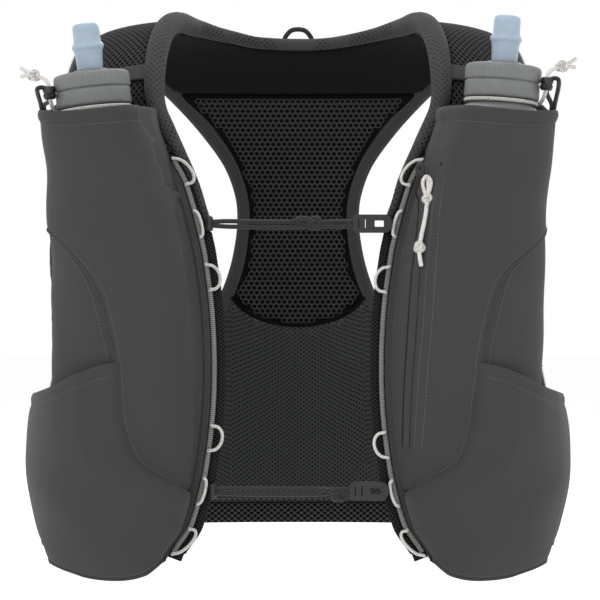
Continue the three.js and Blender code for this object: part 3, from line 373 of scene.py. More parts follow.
def frames(path, closed=False):
    """Turning-free frames along a path."""
    n = len(path)
    if closed:
        ahead, behind = np.roll(path, -1, axis=0), np.roll(path, 1, axis=0)
    else:
        ahead = np.vstack([path[1:], path[-1:] * 2 - path[-2:-1]])
        behind = np.vstack([path[:1] * 2 - path[1:2], path[:-1]])
    along = ahead - behind
    along /= np.linalg.norm(along, axis=1)[:, None]
    up = np.array([0.0, 0.0, 1.0]) if abs(along[0][2]) < 0.9 else np.array([0.0, 1.0, 0.0])
    first = np.cross(along[0], up)
    first /= np.linalg.norm(first)
    firsts = [first]
    for i in range(1, n):
        f = firsts[-1] - along[i] * np.dot(firsts[-1], along[i])
        firsts.append(f / np.linalg.norm(f))
    firsts = np.array(firsts)
    if closed:
        seconds = np.cross(along, firsts)
        last = firsts[-1] - along[0] * np.dot(firsts[-1], along[0])
        last /= np.linalg.norm(last)
        twist = math.atan2(np.dot(last, seconds[0]), np.dot(last, firsts[0]))
        for i in range(n):
            a = -twist * i / n
            firsts[i] = firsts[i] * math.cos(a) + seconds[i] * math.sin(a)
    return along, firsts, np.cross(along, firsts)


# How far a cord's end stands out, as a share of its radius.
END_DOME = 0.45


def tube(name, points, radius, sides=10, pitch=0.9, closed=False, flat=1.0):
    """A round cord along points; radius may be a function of the share along it."""
    _, length = spline(points, 8, closed)
    steps = max(6, int(length / pitch))
    path, length = spline(points, steps, closed)
    along, first, second = frames(path, closed)
    rings = len(path)

    def radius_at(share):
        return radius(share) if callable(radius) else radius
    verts, uvs = [], []
    for i in range(rings):
        share = i / (rings if closed else rings - 1)
        thick = radius_at(share)
        for k in range(sides):
            angle = 2 * math.pi * k / sides
            verts.append(path[i] + first[i] * math.cos(angle) * thick
                         + second[i] * math.sin(angle) * thick * flat)
            uvs.append((share * length * MM, k / sides))
    faces = []
    for i in range(rings if closed else rings - 1):
        a, b = i * sides, ((i + 1) % rings) * sides
        for k in range(sides):
            n = (k + 1) % sides
            faces.append((a + k, a + n, b + n, b + k))
    if not closed:
        for ring, way in ((0, -1), (rings - 1, 1)):
            centre = len(verts)
            verts.append(path[ring] + along[ring] * way * radius_at(ring / (rings - 1)) * END_DOME)
            uvs.append((0 if ring == 0 else length * MM, 0.5))
            for k in range(sides):
                a, b = ring * sides + k, ring * sides + (k + 1) % sides
                faces.append((a, centre, b) if way > 0 else (b, centre, a))
    obj = outside(make_object(name, verts, faces, uvs))
    obj["length"] = length * MM
    return obj, path


def merge(name, objects):
    """Join objects into the first one."""
    for obj in bpy.context.selected_objects:
        obj.select_set(False)
    for obj in objects:
        obj.select_set(True)
    bpy.context.view_layer.objects.active = objects[0]
    bpy.ops.object.join()
    objects[0].name = name
    objects[0].data.name = name
    objects[0].select_set(False)
    return objects[0]


def turned(name, profile, segments, move=None, ripple=None):
    """A body turned round Z from (radius, height) rows; ripple bends the radius."""
    verts, faces, uvs = [], [], []
    middle_radius = profile[len(profile) // 2][0]
    for j, (radius, height) in enumerate(profile):
        for k in range(segments):
            angle = 2 * math.pi * k / segments
            bent = radius + (ripple(angle, j) if ripple and radius > 0 else 0)
            verts.append(Vector((math.cos(angle) * bent, math.sin(angle) * bent, height)))
            uvs.append((angle * middle_radius * MM, height * MM))
    for j in range(len(profile) - 1):
        for k in range(segments):
            n = (k + 1) % segments
            faces.append((j * segments + k, j * segments + n, (j + 1) * segments + n,
                          (j + 1) * segments + k))
    obj = make_object(name, verts, faces, uvs)
    bm = bmesh.new()
    bm.from_mesh(obj.data)
    bmesh.ops.remove_doubles(bm, verts=bm.verts, dist=1e-6)
    bm.to_mesh(obj.data)
    bm.free()
    outside(obj)
    if move is not None:
        obj.data.transform(move)
    return obj


# Materials

def tone(red, green, blue):
    """A colour from its screen values."""
    return tuple((c / 255 / 12.92 if c < 10 else ((c / 255 + 0.055) / 1.055) ** 2.4)
                 for c in (red, green, blue)) + (1.0,)


class Wire:
    """A socket that adds, multiplies and compares like a number."""

    def __init__(self, finish, socket):
        self.finish, self.socket = finish, socket

    def __add__(self, other):
        return self.finish.number("ADD", self, other)

    def __sub__(self, other):
        return self.finish.number("SUBTRACT", self, other)

    def __mul__(self, other):
        return self.finish.number("MULTIPLY", self, other)

    def __truediv__(self, other):
        return self.finish.number("DIVIDE", self, other)

    def __rsub__(self, other):
        return self.finish.number("SUBTRACT", other, self)

    __radd__, __rmul__ = __add__, __mul__

    def sine(self):
        return self.finish.number("SINE", self)

    def wave(self):
        """The distance to the nearest whole number, from 0 to 0.5."""
        return self.finish.number("PINGPONG", self, 0.5)

    def power(self, exponent):
        return self.finish.number("POWER", self, exponent)

    def most(self, other):
        return self.finish.number("MAXIMUM", self, other)

    def ramp(self, low, high):
        made = self.finish.node("ShaderNodeMapRange", {"interpolation_type": "SMOOTHSTEP"},
                                {"Value": self, "From Min": low, "From Max": high})
        return Wire(self.finish, made.outputs["Result"])


class Finish:
    """A procedural material: its nodes and the shader that they feed."""

    def __init__(self, name, roughness, **constants):
        self.material = bpy.data.materials.new(name)
        self.material.use_nodes = True
        self.tree = self.material.node_tree
        self.tree.nodes.clear()
        self.shader = self.node("ShaderNodeBsdfPrincipled", inputs={"Roughness": roughness})
        for key, value in constants.items():
            self.shader.inputs[key.replace("_", " ")].default_value = value
        output = self.node("ShaderNodeOutputMaterial")
        self.tree.links.new(self.shader.outputs["BSDF"], output.inputs["Surface"])

    def node(self, kind, settings=None, inputs=None):
        made = self.tree.nodes.new(kind)
        for key, value in (settings or {}).items():
            setattr(made, key, value)
        for key, value in (inputs or {}).items():
            self.feed(made.inputs[key], value)
        return made

    def feed(self, socket, value):
        if isinstance(value, Wire):
            self.tree.links.new(value.socket, socket)
        else:
            socket.default_value = value

    def number(self, kind, *values):
        made = self.node("ShaderNodeMath", {"operation": kind})
        for socket, value in zip(made.inputs, values):
            self.feed(socket, value)
        return Wire(self, made.outputs["Value"])

    def place(self):
        return Wire(self, self.node("ShaderNodeTexCoord").outputs["Object"])

    def cloth(self):
        made = self.node("ShaderNodeUVMap", {"uv_map": "Cloth"})
        return Wire(self, made.outputs["UV"])

    def split(self, vector):
        made = self.node("ShaderNodeSeparateXYZ", inputs={"Vector": vector})
        return [Wire(self, made.outputs[axis]) for axis in "XYZ"]

    def scaled(self, vector, scale):
        made = self.node("ShaderNodeVectorMath", {"operation": "MULTIPLY"}, {0: vector, 1: scale})
        return Wire(self, made.outputs["Vector"])

    def noise(self, vector, scale, detail=2.0, roughness=0.5):
        made = self.node("ShaderNodeTexNoise", inputs={
            "Vector": vector, "Scale": scale, "Detail": detail, "Roughness": roughness})
        return Wire(self, made.outputs["Fac"])

    def mix(self, low, high, share):
        made = self.node("ShaderNodeMix", {"data_type": "RGBA"}, {0: share, 6: low, 7: high})
        return Wire(self, made.outputs[2])

    def set(self, key, value):
        self.feed(self.shader.inputs[key], value)
        return self

    def bump(self, height, distance, strength=1.0):
        made = self.node("ShaderNodeBump", inputs={
            "Height": height, "Distance": distance, "Strength": strength})
        return self.set("Normal", Wire(self, made.outputs["Normal"]))


def brighter(color, share):
    """A colour times a share, kept below white."""
    return tuple(min(1.0, c * share) for c in color[:3]) + (1.0,)


def weave(u, v, pitch):
    """The height of a plain weave, from 0 to 1."""
    turn = 2 * math.pi / pitch
    return (u * turn).sine() * (v * turn).sine() * 0.5 + 0.5


def staggered(finish, u, v, pitch_u, pitch_v, power):
    """The distance from the middles of staggered holes, as a share of the pitch."""
    a, b = u / pitch_u, v / pitch_v
    near = [((a + shift).wave().power(power) + (b + shift).wave().power(power)).power(1 / power)
            for shift in (0.0, 0.5)]
    return finish.number("MINIMUM", *near)


def stretch_finish(name, color):
    """Woven stretch cloth: fine weave, soft mottling and a dull sheen."""
    made = Finish(name, 0.82, Sheen_Weight=0.06, Sheen_Roughness=0.5, Specular_IOR_Level=0.3)
    u, v, _ = made.split(made.cloth())
    cloud = made.noise(made.place(), 38.0, 3.0, 0.55)
    thread = made.noise(made.scaled(made.cloth(), (900.0, 2600.0, 1.0)), 1.0, 1.0)
    cross = weave(u, v, 0.0011)
    shade = cloud * 0.5 + thread * 0.3 + cross * 0.2
    made.set("Base Color", made.mix(brighter(color, 0.80), brighter(color, 1.20), shade))
    made.set("Roughness", 0.76 + cloud * 0.14)
    fold = made.noise(made.scaled(made.place(), (1.0, 1.0, 0.45)), 26.0, 2.0, 0.4)
    return made.bump(cross * 0.05 + thread * 0.06 + fold * 1.6, 0.0011, 0.75).material


def holed_finish(name, color, dark, pitch, size, power=1.0, depth=0.5):
    """Mesh cloth over foam: staggered holes, near-black inside with painted shade, with a thread's round
    edge.
    """
    made = Finish(name, 0.85, Sheen_Weight=0.02, Specular_IOR_Level=0.12)
    u, v, _ = made.split(made.cloth())
    away = staggered(made, u, v, pitch[0], pitch[1], power)
    solid = away.ramp(size - 0.07, size + 0.05)
    fuzz = made.noise(made.place(), 900.0, 2.0)
    cloud = made.noise(made.place(), 45.0, 2.0)
    body = made.mix(brighter(color, 0.8), brighter(color, 1.25), fuzz * 0.6 + cloud * 0.4)
    # Painted shade: the hole colour stands in for the shade inside each hole.
    made.set("Base Color", made.mix(dark, body, solid))
    made.set("Roughness", 0.95 - solid * 0.15)
    return made.bump(solid * depth + fuzz * 0.12 + cloud * 0.8, 0.0011, 0.9).material


def smooth_finish(name, color, rib=0.0016):
    """Narrow knitted binding with a faint rib along it."""
    made = Finish(name, 0.72, Sheen_Weight=0.06, Specular_IOR_Level=0.3)
    u, _, _ = made.split(made.cloth())
    fuzz = made.noise(made.place(), 700.0, 2.0)
    cloud = made.noise(made.place(), 55.0, 2.0)
    line = (u * (2 * math.pi / rib)).sine() * 0.5 + 0.5
    made.set("Base Color", made.mix(brighter(color, 0.82), brighter(color, 1.2),
                                    fuzz * 0.4 + cloud * 0.4 + line * 0.2))
    made.set("Roughness", 0.66 + fuzz * 0.16)
    return made.bump(fuzz * 0.2 + line * 0.1 + cloud * 0.8, 0.0008, 0.7).material


def braid_finish(name, color, fleck, amount, thickness):
    """Round braided cord: crossing plaits along its length, with painted shade in their grooves and paler
    painted crests, and flecks of another yarn.
    """
    made = Finish(name, 0.78, Sheen_Weight=0.2)
    u, v, _ = made.split(made.cloth())
    around = v * (2 * math.pi * 4)
    along = u * (2 * math.pi / thickness * 0.9)
    plait = ((around + along).sine()).most((around - along).sine()) * 0.5 + 0.5
    spots = made.noise(made.scaled(made.cloth(), (620.0, 7.0, 1.0)), 1.0, 1.0)
    share = spots.ramp(0.66 - amount, 0.70 - amount)
    # Painted light and shade: the base colour follows the plait, darker in its grooves and paler on its
    # crests.
    body = made.mix(brighter(color, 0.72), brighter(color, 1.08), plait)
    made.set("Base Color", made.mix(body, fleck, share))
    made.set("Roughness", 0.85 - plait * 0.15)
    return made.bump(plait, 0.0004, 0.8).material


def moulded_finish(name, color, roughness, grain=420.0, **constants):
    """Moulded plastic with a fine spark-eroded grain and soft paler and darker clouds."""
    made = Finish(name, roughness, **constants)
    fine = made.noise(made.place(), grain * 4, 2.0)
    cloud = made.noise(made.place(), grain / 8, 3.0)
    made.set("Base Color", made.mix(brighter(color, 0.88), brighter(color, 1.12), cloud))
    made.set("Roughness", roughness - 0.06 + cloud * 0.12)
    return made.bump(fine, 0.00012, 0.5).material


def silicone_finish(name, color):
    """Pale frosted silicone that lets some light through."""
    made = Finish(name, 0.36, Subsurface_Weight=0.55, Subsurface_Scale=0.006,
                  Transmission_Weight=0.12, Coat_Weight=0.15)
    made.shader.inputs["Subsurface Radius"].default_value = (0.7, 0.85, 1.0)
    cloud = made.noise(made.place(), 120.0, 2.0)
    made.set("Base Color", made.mix(brighter(color, 0.9), brighter(color, 1.08), cloud))
    made.set("Roughness", 0.30 + cloud * 0.12)
    return made.bump(made.noise(made.place(), 600.0, 1.0), 0.0001, 0.3).material


def film_finish(name, color):
    """Soft flask film, creased and a little shiny, with painted shade in the low places of its creases and
    paler ridges.
    """
    made = Finish(name, 0.38, Coat_Weight=0.25, Subsurface_Weight=0.1, Subsurface_Scale=0.004)
    crease = made.noise(made.place(), 60.0, 4.0, 0.6)
    # Painted shade: the base colour follows the crease relief, darker in its hollows and paler on its
    # ridges.
    made.set("Base Color", made.mix(brighter(color, 0.85), brighter(color, 1.15), crease))
    made.set("Roughness", 0.30 + crease * 0.2)
    return made.bump(crease, 0.002, 0.6).material


def floor_finish():
    """The pale floor under the vest."""
    made = Finish("pale_floor", 0.9)
    cloud = made.noise(made.place(), 2.0, 2.0)
    made.set("Base Color", made.mix((0.97, 0.97, 0.97, 1), (0.99, 0.99, 0.99, 1), cloud))
    return made.material


def all_finishes(look):
    """Every finish of the vest, by name."""
    cloth, mesh = tuple(look.cloth) + (1,), tuple(look.mesh) + (1,)
    # The second tone of each holed finish is painted shade inside its holes.
    black, painted_hole_shade = tone(24, 24, 25), tone(6, 6, 7)
    return {
        "stretch": stretch_finish("stretch_cloth", cloth),
        "panel": holed_finish("panel_mesh", mesh, painted_hole_shade, (0.0040, 0.0052), 0.33),
        "yoke": holed_finish("yoke_lining", tone(22, 22, 23), tone(6, 6, 6), (0.0026, 0.0020),
                             0.20, 2.0),
        # Partly painted shade: the back foam's own black is deepened to near-black as the shade seen
        # through the open back net.
        "back": holed_finish("back_foam_painted_shade", tone(3, 3, 3), tone(1, 1, 1), (0.0020, 0.0016), 0.22, 2.0),
        "lumbar": holed_finish("lumbar_knit", tone(64, 66, 66), tone(20, 21, 21), (0.0043, 0.0031),
                               0.2, 2.0),
        "cell": smooth_finish("lumbar_cell", tone(74, 76, 76), 0.0007),
        "trim": holed_finish("edge_trim", tone(40, 41, 42), tone(8, 8, 8), (0.0030, 0.0026),
                             0.26, 2.0),
        "band": holed_finish("hem_mesh", tone(72, 74, 74), tone(10, 10, 10), (0.0050, 0.0040),
                             0.30, 2.0),
        "roll": stretch_finish("roll_knit", tone(62, 61, 61)),
        "binding": smooth_finish("smooth_binding", tone(54, 55, 56)),
        "thread": smooth_finish("sewing_thread", tone(96, 95, 95), 0.0004),
        "dark_thread": smooth_finish("dark_thread", tone(18, 18, 19), 0.0004),
        # Painted shade: near-black discs stand in for the shaded insides of the roll's perforations.
        "dot": smooth_finish("roll_hole_shade", tone(3, 3, 3), 0.0004),
        "net": smooth_finish("net_yarn", tone(56, 57, 58), 0.0007),
        "coil": smooth_finish("ribbed_cording", tone(165, 161, 159), 0.0013),
        "core": smooth_finish("cording_core", tone(112, 110, 108), 0.0013),
        "cap": moulded_finish("cap_plastic", tuple(look.cap) + (1,), 0.42),
        "film": film_finish("flask_film", tone(128, 130, 130)),
        "silicone": silicone_finish("valve_silicone", tuple(look.valve) + (1,)),
        "lace": braid_finish("white_braid", tone(222, 219, 214), tone(140, 136, 131), 0.0, 0.0024),
        "cord": braid_finish("black_braid", black, tone(44, 44, 45), -0.02, 0.0030),
        "hardware": moulded_finish("black_plastic", tone(30, 30, 31), 0.38),
    }


# Repeated details

def repeat_tree(name, kind, material):
    """A node tree that sets one small form on every point, turned by its attributes."""
    tree = bpy.data.node_groups.new(name, "GeometryNodeTree")
    face = tree.interface
    face.new_socket("Geometry", in_out="INPUT", socket_type="NodeSocketGeometry")
    face.new_socket("Geometry", in_out="OUTPUT", socket_type="NodeSocketGeometry")
    for label in ("Length", "Width", "Height", "Thread"):
        face.new_socket(label, in_out="INPUT", socket_type="NodeSocketFloat")
    nodes, link = tree.nodes, tree.links.new
    entry, leave = nodes.new("NodeGroupInput"), nodes.new("NodeGroupOutput")
    if kind == "ring":
        loop, section = (nodes.new("GeometryNodeCurvePrimitiveCircle") for _ in range(2))
        loop.inputs["Resolution"].default_value = 8
        section.inputs["Resolution"].default_value = 5
        loop.inputs["Radius"].default_value = 1.0
        link(entry.outputs["Thread"], section.inputs["Radius"])
        form = nodes.new("GeometryNodeCurveToMesh")
        link(loop.outputs["Curve"], form.inputs["Curve"])
        link(section.outputs["Curve"], form.inputs["Profile Curve"])
    elif kind == "disc":
        form = nodes.new("GeometryNodeMeshCircle")
        form.fill_type = "TRIANGLE_FAN"
        form.inputs["Vertices"].default_value = 8
        form.inputs["Radius"].default_value = 1.0
    else:
        form = nodes.new("GeometryNodeMeshUVSphere")
        form.inputs["Segments"].default_value = 8
        form.inputs["Rings"].default_value = 5
        form.inputs["Radius"].default_value = 1.0
    turn = None
    for axis, label in (("Z", "out"), ("X", "along")):
        named = nodes.new("GeometryNodeInputNamedAttribute")
        named.data_type = "FLOAT_VECTOR"
        named.inputs["Name"].default_value = label
        align = nodes.new("FunctionNodeAlignRotationToVector")
        align.axis = axis
        if axis == "X":
            align.pivot_axis = "Z"
        link(named.outputs["Attribute"], align.inputs["Vector"])
        if turn is not None:
            link(turn.outputs["Rotation"], align.inputs["Rotation"])
        turn = align
    size = nodes.new("ShaderNodeCombineXYZ")
    for label, axis in (("Length", "X"), ("Width", "Y"), ("Height", "Z")):
        link(entry.outputs[label], size.inputs[axis])
    place = nodes.new("GeometryNodeInstanceOnPoints")
    link(entry.outputs["Geometry"], place.inputs["Points"])
    link(form.outputs["Mesh"], place.inputs["Instance"])
    link(turn.outputs["Rotation"], place.inputs["Rotation"])
    link(size.outputs["Vector"], place.inputs["Scale"])
    real, paint = nodes.new("GeometryNodeRealizeInstances"), nodes.new("GeometryNodeSetMaterial")
    paint.inputs["Material"].default_value = material
    link(place.outputs["Instances"], real.inputs["Geometry"])
    link(real.outputs["Geometry"], paint.inputs["Geometry"])
    link(paint.outputs["Geometry"], leave.inputs["Geometry"])
    return tree


def repeat(name, places, kind, material, length, width, height, thread=0.2):
    """Small forms at places, each a point, its way out and its way along."""
    mesh = bpy.data.meshes.new(name)
    mesh.from_pydata([tuple(c * MM for c in p) for p, _, _ in places], [], [])
    for label, index in (("out", 1), ("along", 2)):
        layer = mesh.attributes.new(label, "FLOAT_VECTOR", "POINT")
        layer.data.foreach_set("vector", [c for place in places for c in place[index]])
    obj = links(bpy.data.objects.new(name, mesh))
    tree = repeat_tree(name, kind, material)
    modifier = obj.modifiers.new("repeat", "NODES")
    modifier.node_group = tree
    sizes = {"Length": length * MM, "Width": width * MM, "Height": height * MM, "Thread": thread}
    for item in tree.interface.items_tree:
        if item.item_type == "SOCKET" and item.in_out == "INPUT" and item.name in sizes:
            modifier[item.identifier] = sizes[item.name]
    graph = bpy.context.evaluated_depsgraph_get()
    made = bpy.data.meshes.new_from_object(obj.evaluated_get(graph), depsgraph=graph)
    obj.modifiers.remove(modifier)
    obj.data = made
    made.name = name
    if kind != "disc":
        made.shade_smooth()
    if not made.materials:
        made.materials.append(material)
    return obj


def along_line(line, pitch):
    """Places at an even pitch along a line of (point, way out) pairs."""
    points = np.array([tuple(p) for p, _ in line])
    outs = np.array([tuple(o) for _, o in line])
    run = run_of(points)
    count = max(2, int(run[-1] / pitch))
    at = (np.arange(count) + 0.5) / count * run[-1]
    middles, ways = read_along(points, run, at), read_along(outs, run, at)
    ahead = read_along(points, run, np.minimum(at + 0.5, run[-1]))
    behind = read_along(points, run, np.maximum(at - 0.5, 0))
    return list(zip(middles, ways, ahead - behind))


def details():
    return bpy.context.scene.vest_details


def stitches(name, lines, size=(0.82, 0.26, 0.2)):
    """Rows of stitches along lines."""
    pitch = details().stitch_pitch / MM
    places = [place for line in lines for place in along_line(line, pitch)]
    return settle(repeat(name, places, "bead", finish("thread"), *size))


# Handing pieces over

def settle(piece, material=None, nodes=(), body="root"):
    """Give a piece its finish, its body and the nodes that it stands for."""
    if material is not None:
        piece.data.materials.clear()
        piece.data.materials.append(material)
    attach(piece, body)
    if nodes:
        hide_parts(*nodes)
    return piece


# The frames that the pads swell for, and how wide a strip is held along their edges, in metres.
SWELL_FRAMES, HELD_EDGE = 20, 0.003


def swell(piece, pressure, cap):
    """Let a padded piece swell under air pressure between its held edges."""
    mesh = piece.data
    rest = np.empty(len(mesh.vertices) * 3)
    mesh.vertices.foreach_get("co", rest)
    rest = rest.reshape(-1, 3)
    layer = mesh.uv_layers["Cloth"].data
    uv = np.empty(len(layer) * 2)
    layer.foreach_get("uv", uv)
    index = np.empty(len(mesh.loops), dtype=np.int32)
    mesh.loops.foreach_get("vertex_index", index)
    spread = np.zeros((len(rest), 2))
    spread[index] = uv.reshape(-1, 2)
    low, high = spread.min(axis=0), spread.max(axis=0)
    edge = np.minimum(spread - low, high - spread).min(axis=1)
    group = piece.vertex_groups.new(name="held")
    group.add([int(i) for i in np.flatnonzero(edge < HELD_EDGE)], 1.0, "REPLACE")
    cloth = piece.modifiers.new("cloth", "CLOTH")
    cloth.settings.quality = 5
    cloth.settings.use_pressure = True
    cloth.settings.uniform_pressure_force = pressure
    cloth.settings.vertex_group_mass = "held"
    cloth.settings.effector_weights.gravity = 0.0
    scene = bpy.context.scene
    for number in range(1, SWELL_FRAMES + 1):
        scene.frame_set(number)
    graph = bpy.context.evaluated_depsgraph_get()
    after = piece.evaluated_get(graph).data
    moved = np.empty(len(rest) * 3)
    after.vertices.foreach_get("co", moved)
    step = moved.reshape(-1, 3) - rest
    far = np.linalg.norm(step, axis=1)
    far[far == 0] = 1
    step *= np.minimum(1, cap * MM / far)[:, None]
    piece.modifiers.remove(cloth)
    piece.vertex_groups.remove(group)
    mesh.vertices.foreach_set("co", (rest + step).ravel())
    mesh.update()
    scene.frame_set(1)
    return piece


FINISHES = {}


def finish(name):
    """One of the finishes, which are all made when the first is asked for."""
    if not FINISHES:
        FINISHES.update(all_finishes(bpy.context.scene.vest_look))
    return FINISHES[name]


def loft(name, rings, closed=False):
    """A body through rings of points, with flat ends unless it is closed."""
    count, points = len(rings[0]), [p for ring in rings for p in ring]
    faces = []
    for j in range(len(rings) if closed else len(rings) - 1):
        a, b = j * count, (j + 1) % len(rings) * count
        faces += [(a + i, a + (i + 1) % count, b + (i + 1) % count, b + i) for i in range(count)]
    if not closed:
        faces += [tuple(range(count)), tuple((len(rings) - 1) * count + i for i in range(count))]
    girth = [0.0]
    for a, b in zip(rings[0], rings[0][1:]):
        girth.append(girth[-1] + (Vector(b) - Vector(a)).length)
    run, uvs = 0.0, []
    for j, ring in enumerate(rings):
        if j:
            run += (Vector(ring[0]) - Vector(rings[j - 1][0])).length
        uvs += [(g * MM, run * MM) for g in girth]
    return outside(make_object(name, points, faces, uvs))


def ring_section(count, power_of=2.0):
    """A closed section from -1 to 1, round at 2 and squarer above."""
    turns = [2 * math.pi * (k + 0.5) / count for k in range(count)]
    return [(power(math.cos(a), 2 / power_of), power(math.sin(a), 2 / power_of)) for a in turns]


def band(name, rows, closed=False, pitch=3.0, square=3.0, sides=14, out_of=outward):
    """A strip along the form: rows give a point, a half width and two heights."""
    keys = np.array([tuple(row[0]) for row in rows])
    run = run_of(np.vstack([keys, keys[:1]]) if closed else keys)
    _, length = spline(keys, 8, closed)
    count = max(8, int(length / pitch))
    path, _ = spline(keys, count, closed)
    share = np.arange(len(path)) / (len(path) if closed else len(path) - 1) * run[-1]
    values = [list(row[1:]) for row in rows] + ([list(rows[0][1:])] if closed else [])
    half, low, high = (np.interp(share, run, [row[k] for row in values]) for k in range(3))
    rings = []
    for i in range(len(path)):
        before = path[i - 1] if closed or i else path[0]
        after = path[(i + 1) % len(path)] if closed or i + 1 < len(path) else path[-1]
        p = Vector(path[i])
        out = out_of(p)
        across = Vector(after - before).cross(out).normalized()
        middle, thick = (low[i] + high[i]) / 2, (high[i] - low[i]) / 2
        rings.append([p + across * a * half[i] + out * (middle + b * thick)
                      for a, b in ring_section(sides, square)])
    return loft(name, rings, closed), path


# The pads

def front_panel(side):
    def at(u, v):
        climb = lerp(-1, PANEL_TOP, v)
        row = over(side, 0.7, climb).z
        outer = lerp(PANEL_OUTER, CREST_OUTER, max(0.0, climb))
        start = lerp(edge_reach(row) + 0.010, roll_edge(climb), smooth(row, -0.27 * HEM, -0.23 * HEM))
        reach = lerp(start, outer, u)
        p = over(side, reach, climb)
        if climb < 0:
            p = spot(side, reach, lerp(hem_at(reach) + 4, -BEND, climb + 1), -1)
        return p, raised(p, PAD)
    return at


def shoulder_panel(side):
    def at(u, v):
        climb = lerp(PANEL_TOP + 0.005, SHOULDER_END, v)
        inner = max(read(SHOULDERS, climb, 1), roll_edge(climb))
        p = over(side, lerp(inner, read(SHOULDERS, climb, 2), u), climb)
        return p, raised(p, PAD + 0.4)
    return at


def yoke(u, v):
    reach = (2 * u - 1) * YOKE_HALF
    side, size = (1 if reach >= 0 else -1), abs(reach)
    rows = [(row[1], row[0]) for row in ROLL_LINE if row[0] >= 0.86 and row[1] <= 0.505]
    neck = read(rows, min(size, 0.44))
    drop = YOKE_LOW - 0.030 * smooth(size, 0.52, YOKE_HALF)
    rise = (BEND - drop * HEM) / (crest_at(size) + BEND)
    low = 2 - math.asin(rise ** (SIDEWAYS / 2)) * 2 / math.pi
    p = over(side, size, lerp(neck + 0.030 + 0.04 * size, low, v))
    return raised(p, -0.6), raised(p, lerp(BACK_PAD, 3.0, smooth(size, 0.47, 0.50)))


def back_mesh(u, v):
    side = 1 if u >= 0.5 else -1
    smile = SMILE - SMILE_RISE * (2 * u - 1) ** 2
    drop = lerp(YOKE_LOW + 0.001, smile, v)
    half = read(BACK_SEAM, drop) + 0.016 + 0.035 * (1 - smooth(drop, 0.088, 0.130))
    p = spot(side, abs(2 * u - 1) * half, -drop * HEM, 1)
    return p, raised(p, BACK_PAD)


def lumbar_at(reach, v):
    size = abs(reach)
    top = read(LUMBAR_TOP, size) - 0.012
    if size < SMILE_HALF:
        top = SMILE - 0.004 - SMILE_RISE * (size / SMILE_HALF) ** 2
    return spot(1 if reach >= 0 else -1, size, -lerp(top, LUMBAR_LOW, v) * HEM, 1)


def lumbar(u, v):
    p = lumbar_at((2 * u - 1) * LUMBAR_HALF, v)
    return p, raised(p, BACK_PAD)


def hem_band(u, v):
    drop = lerp(LUMBAR_LOW, BAND_LOW, v)
    p = spot(1 if u >= 0.5 else -1, abs(2 * u - 1) * LUMBAR_HALF, -drop * HEM, 1)
    return p, raised(p, BACK_PAD)


def stow_pocket(u, v):
    side, drop = (1 if u >= 0.5 else -1), lerp(STOW_TOP, STOW_END, v)
    widest = lerp(STOW_TOP_HALF, STOW_HALF, min(1, v * 2))
    p = spot(side, abs(2 * u - 1) * widest, -drop * HEM, 1)
    swollen = max(0.0, math.sin(math.pi * u) * math.sin(math.pi * (0.2 + 0.8 * v))) ** 0.6
    crease = 0.7 * math.sin(p.x / 9 + 2 * math.sin(p.z / 31)) * swollen
    low = BACK_PAD + 0.4 + STOW_DEPTH * swollen + crease
    return raised(p, low), raised(p, low + CLOTH)


def side_wing(side):
    def at(u, v):
        angle = lerp(WING_FRONT, WING_BACK, u)
        top = lerp(WING_TOP_FRONT, WING_TOP_BACK, u)
        low = lerp(WING_LOW_FRONT, BAND_LOW, min(1, u * 1.4))
        z = -HEM * lerp(top, low, v)
        p = around(side, angle, z)
        crease = 0.35 * math.sin(z / 6.5 + 3 * u) * math.sin(math.pi * u)
        return raised(p, 1), raised(p, 1 + CLOTH + crease)
    return at


# The stretch cloth

def drape(side, across, z):
    """Soft folds that the full flask pulls into the sleeve."""
    down = -z
    ends = math.sin(math.pi * min(1.0, max(0.0, across)))
    high_folds = smooth(down, 70, 100) * (1 - smooth(down, 150, 205))
    fall = 1.5 * math.sin((down - 46 * across) / 9.5 + 1.7 * side) * high_folds
    pull = 1.3 * math.sin((down + 60 * across) / 13.0 + side) * smooth(down, 180, 225)
    rough = noise.noise(Vector((across * 4.1, down / 33, 3.7 * side))) * 2.4
    return (fall + pull + rough) * ends


def rim_drop(u):
    """The drop of the sleeve's rim, which the drawcord pulls up at its outer end."""
    return RIM_DROP + 1.5 + 3.6 * math.sin(math.pi * u) - 3.0 * u - 6.5 * smooth(u, 0.93, 1.0)


def flask_sleeve(side):
    def at(u, v):
        start = rim_drop(u)
        drop = lerp(start / HEM, SLEEVE_END, v)
        across, z = u * min(1.0, read(SEAM, drop)), -drop * HEM
        out = skin_out(side, across, z)
        p = skin(side, across, z) + out * drape(side, across, z)
        down = drop * HEM - start
        pucker = 0.35 * math.sin(u * 230) * (1 - smooth(down, 6, 13))
        rim = 1.1 * math.exp(-((down - 3.2) / 3.0) ** 2)
        rim -= 0.7 * math.exp(-((down - RIM_HEM) / 1.2) ** 2)
        return p, p + out * (CLOTH + rim + pucker)
    return at


def side_seam(drop):
    return max(0.05, min(0.99, read(SEAM, drop)) - 0.03)


def side_panel(side):
    def at(u, v):
        drop = lerp(SIDE_TOP, SIDE_END, v)
        across, z = lerp(side_seam(drop), 1.0, u), -drop * HEM
        out = skin_out(side, across, z)
        p = skin(side, across, z) + out * (drape(side, across, z) - 0.9)
        return p, p + out * CLOTH
    return at


BRIDGE_FROM, BRIDGE_TO = 0.66, 1.24


def pocket_place(side, across, drop, height):
    """A point of the full lower pocket, which bridges the hollow beside the flask."""
    if not BRIDGE_FROM < across < BRIDGE_TO:
        return pocket_spot(side, across, drop, height)
    start, end = (pocket_spot(side, a, drop, height) for a in (BRIDGE_FROM, BRIDGE_TO))
    span = BRIDGE_TO - BRIDGE_FROM
    step = 0.02
    pull = 0.62 * span / step
    leave = (start - pocket_spot(side, BRIDGE_FROM - step, drop, height)) * pull
    reach = (pocket_spot(side, BRIDGE_TO + step, drop, height) - end) * pull
    t = (across - BRIDGE_FROM) / span
    return start * (2 * t ** 3 - 3 * t ** 2 + 1) + leave * (t ** 3 - 2 * t ** 2 + t) \
        + end * (3 * t ** 2 - 2 * t ** 3) + reach * (t ** 3 - t ** 2)


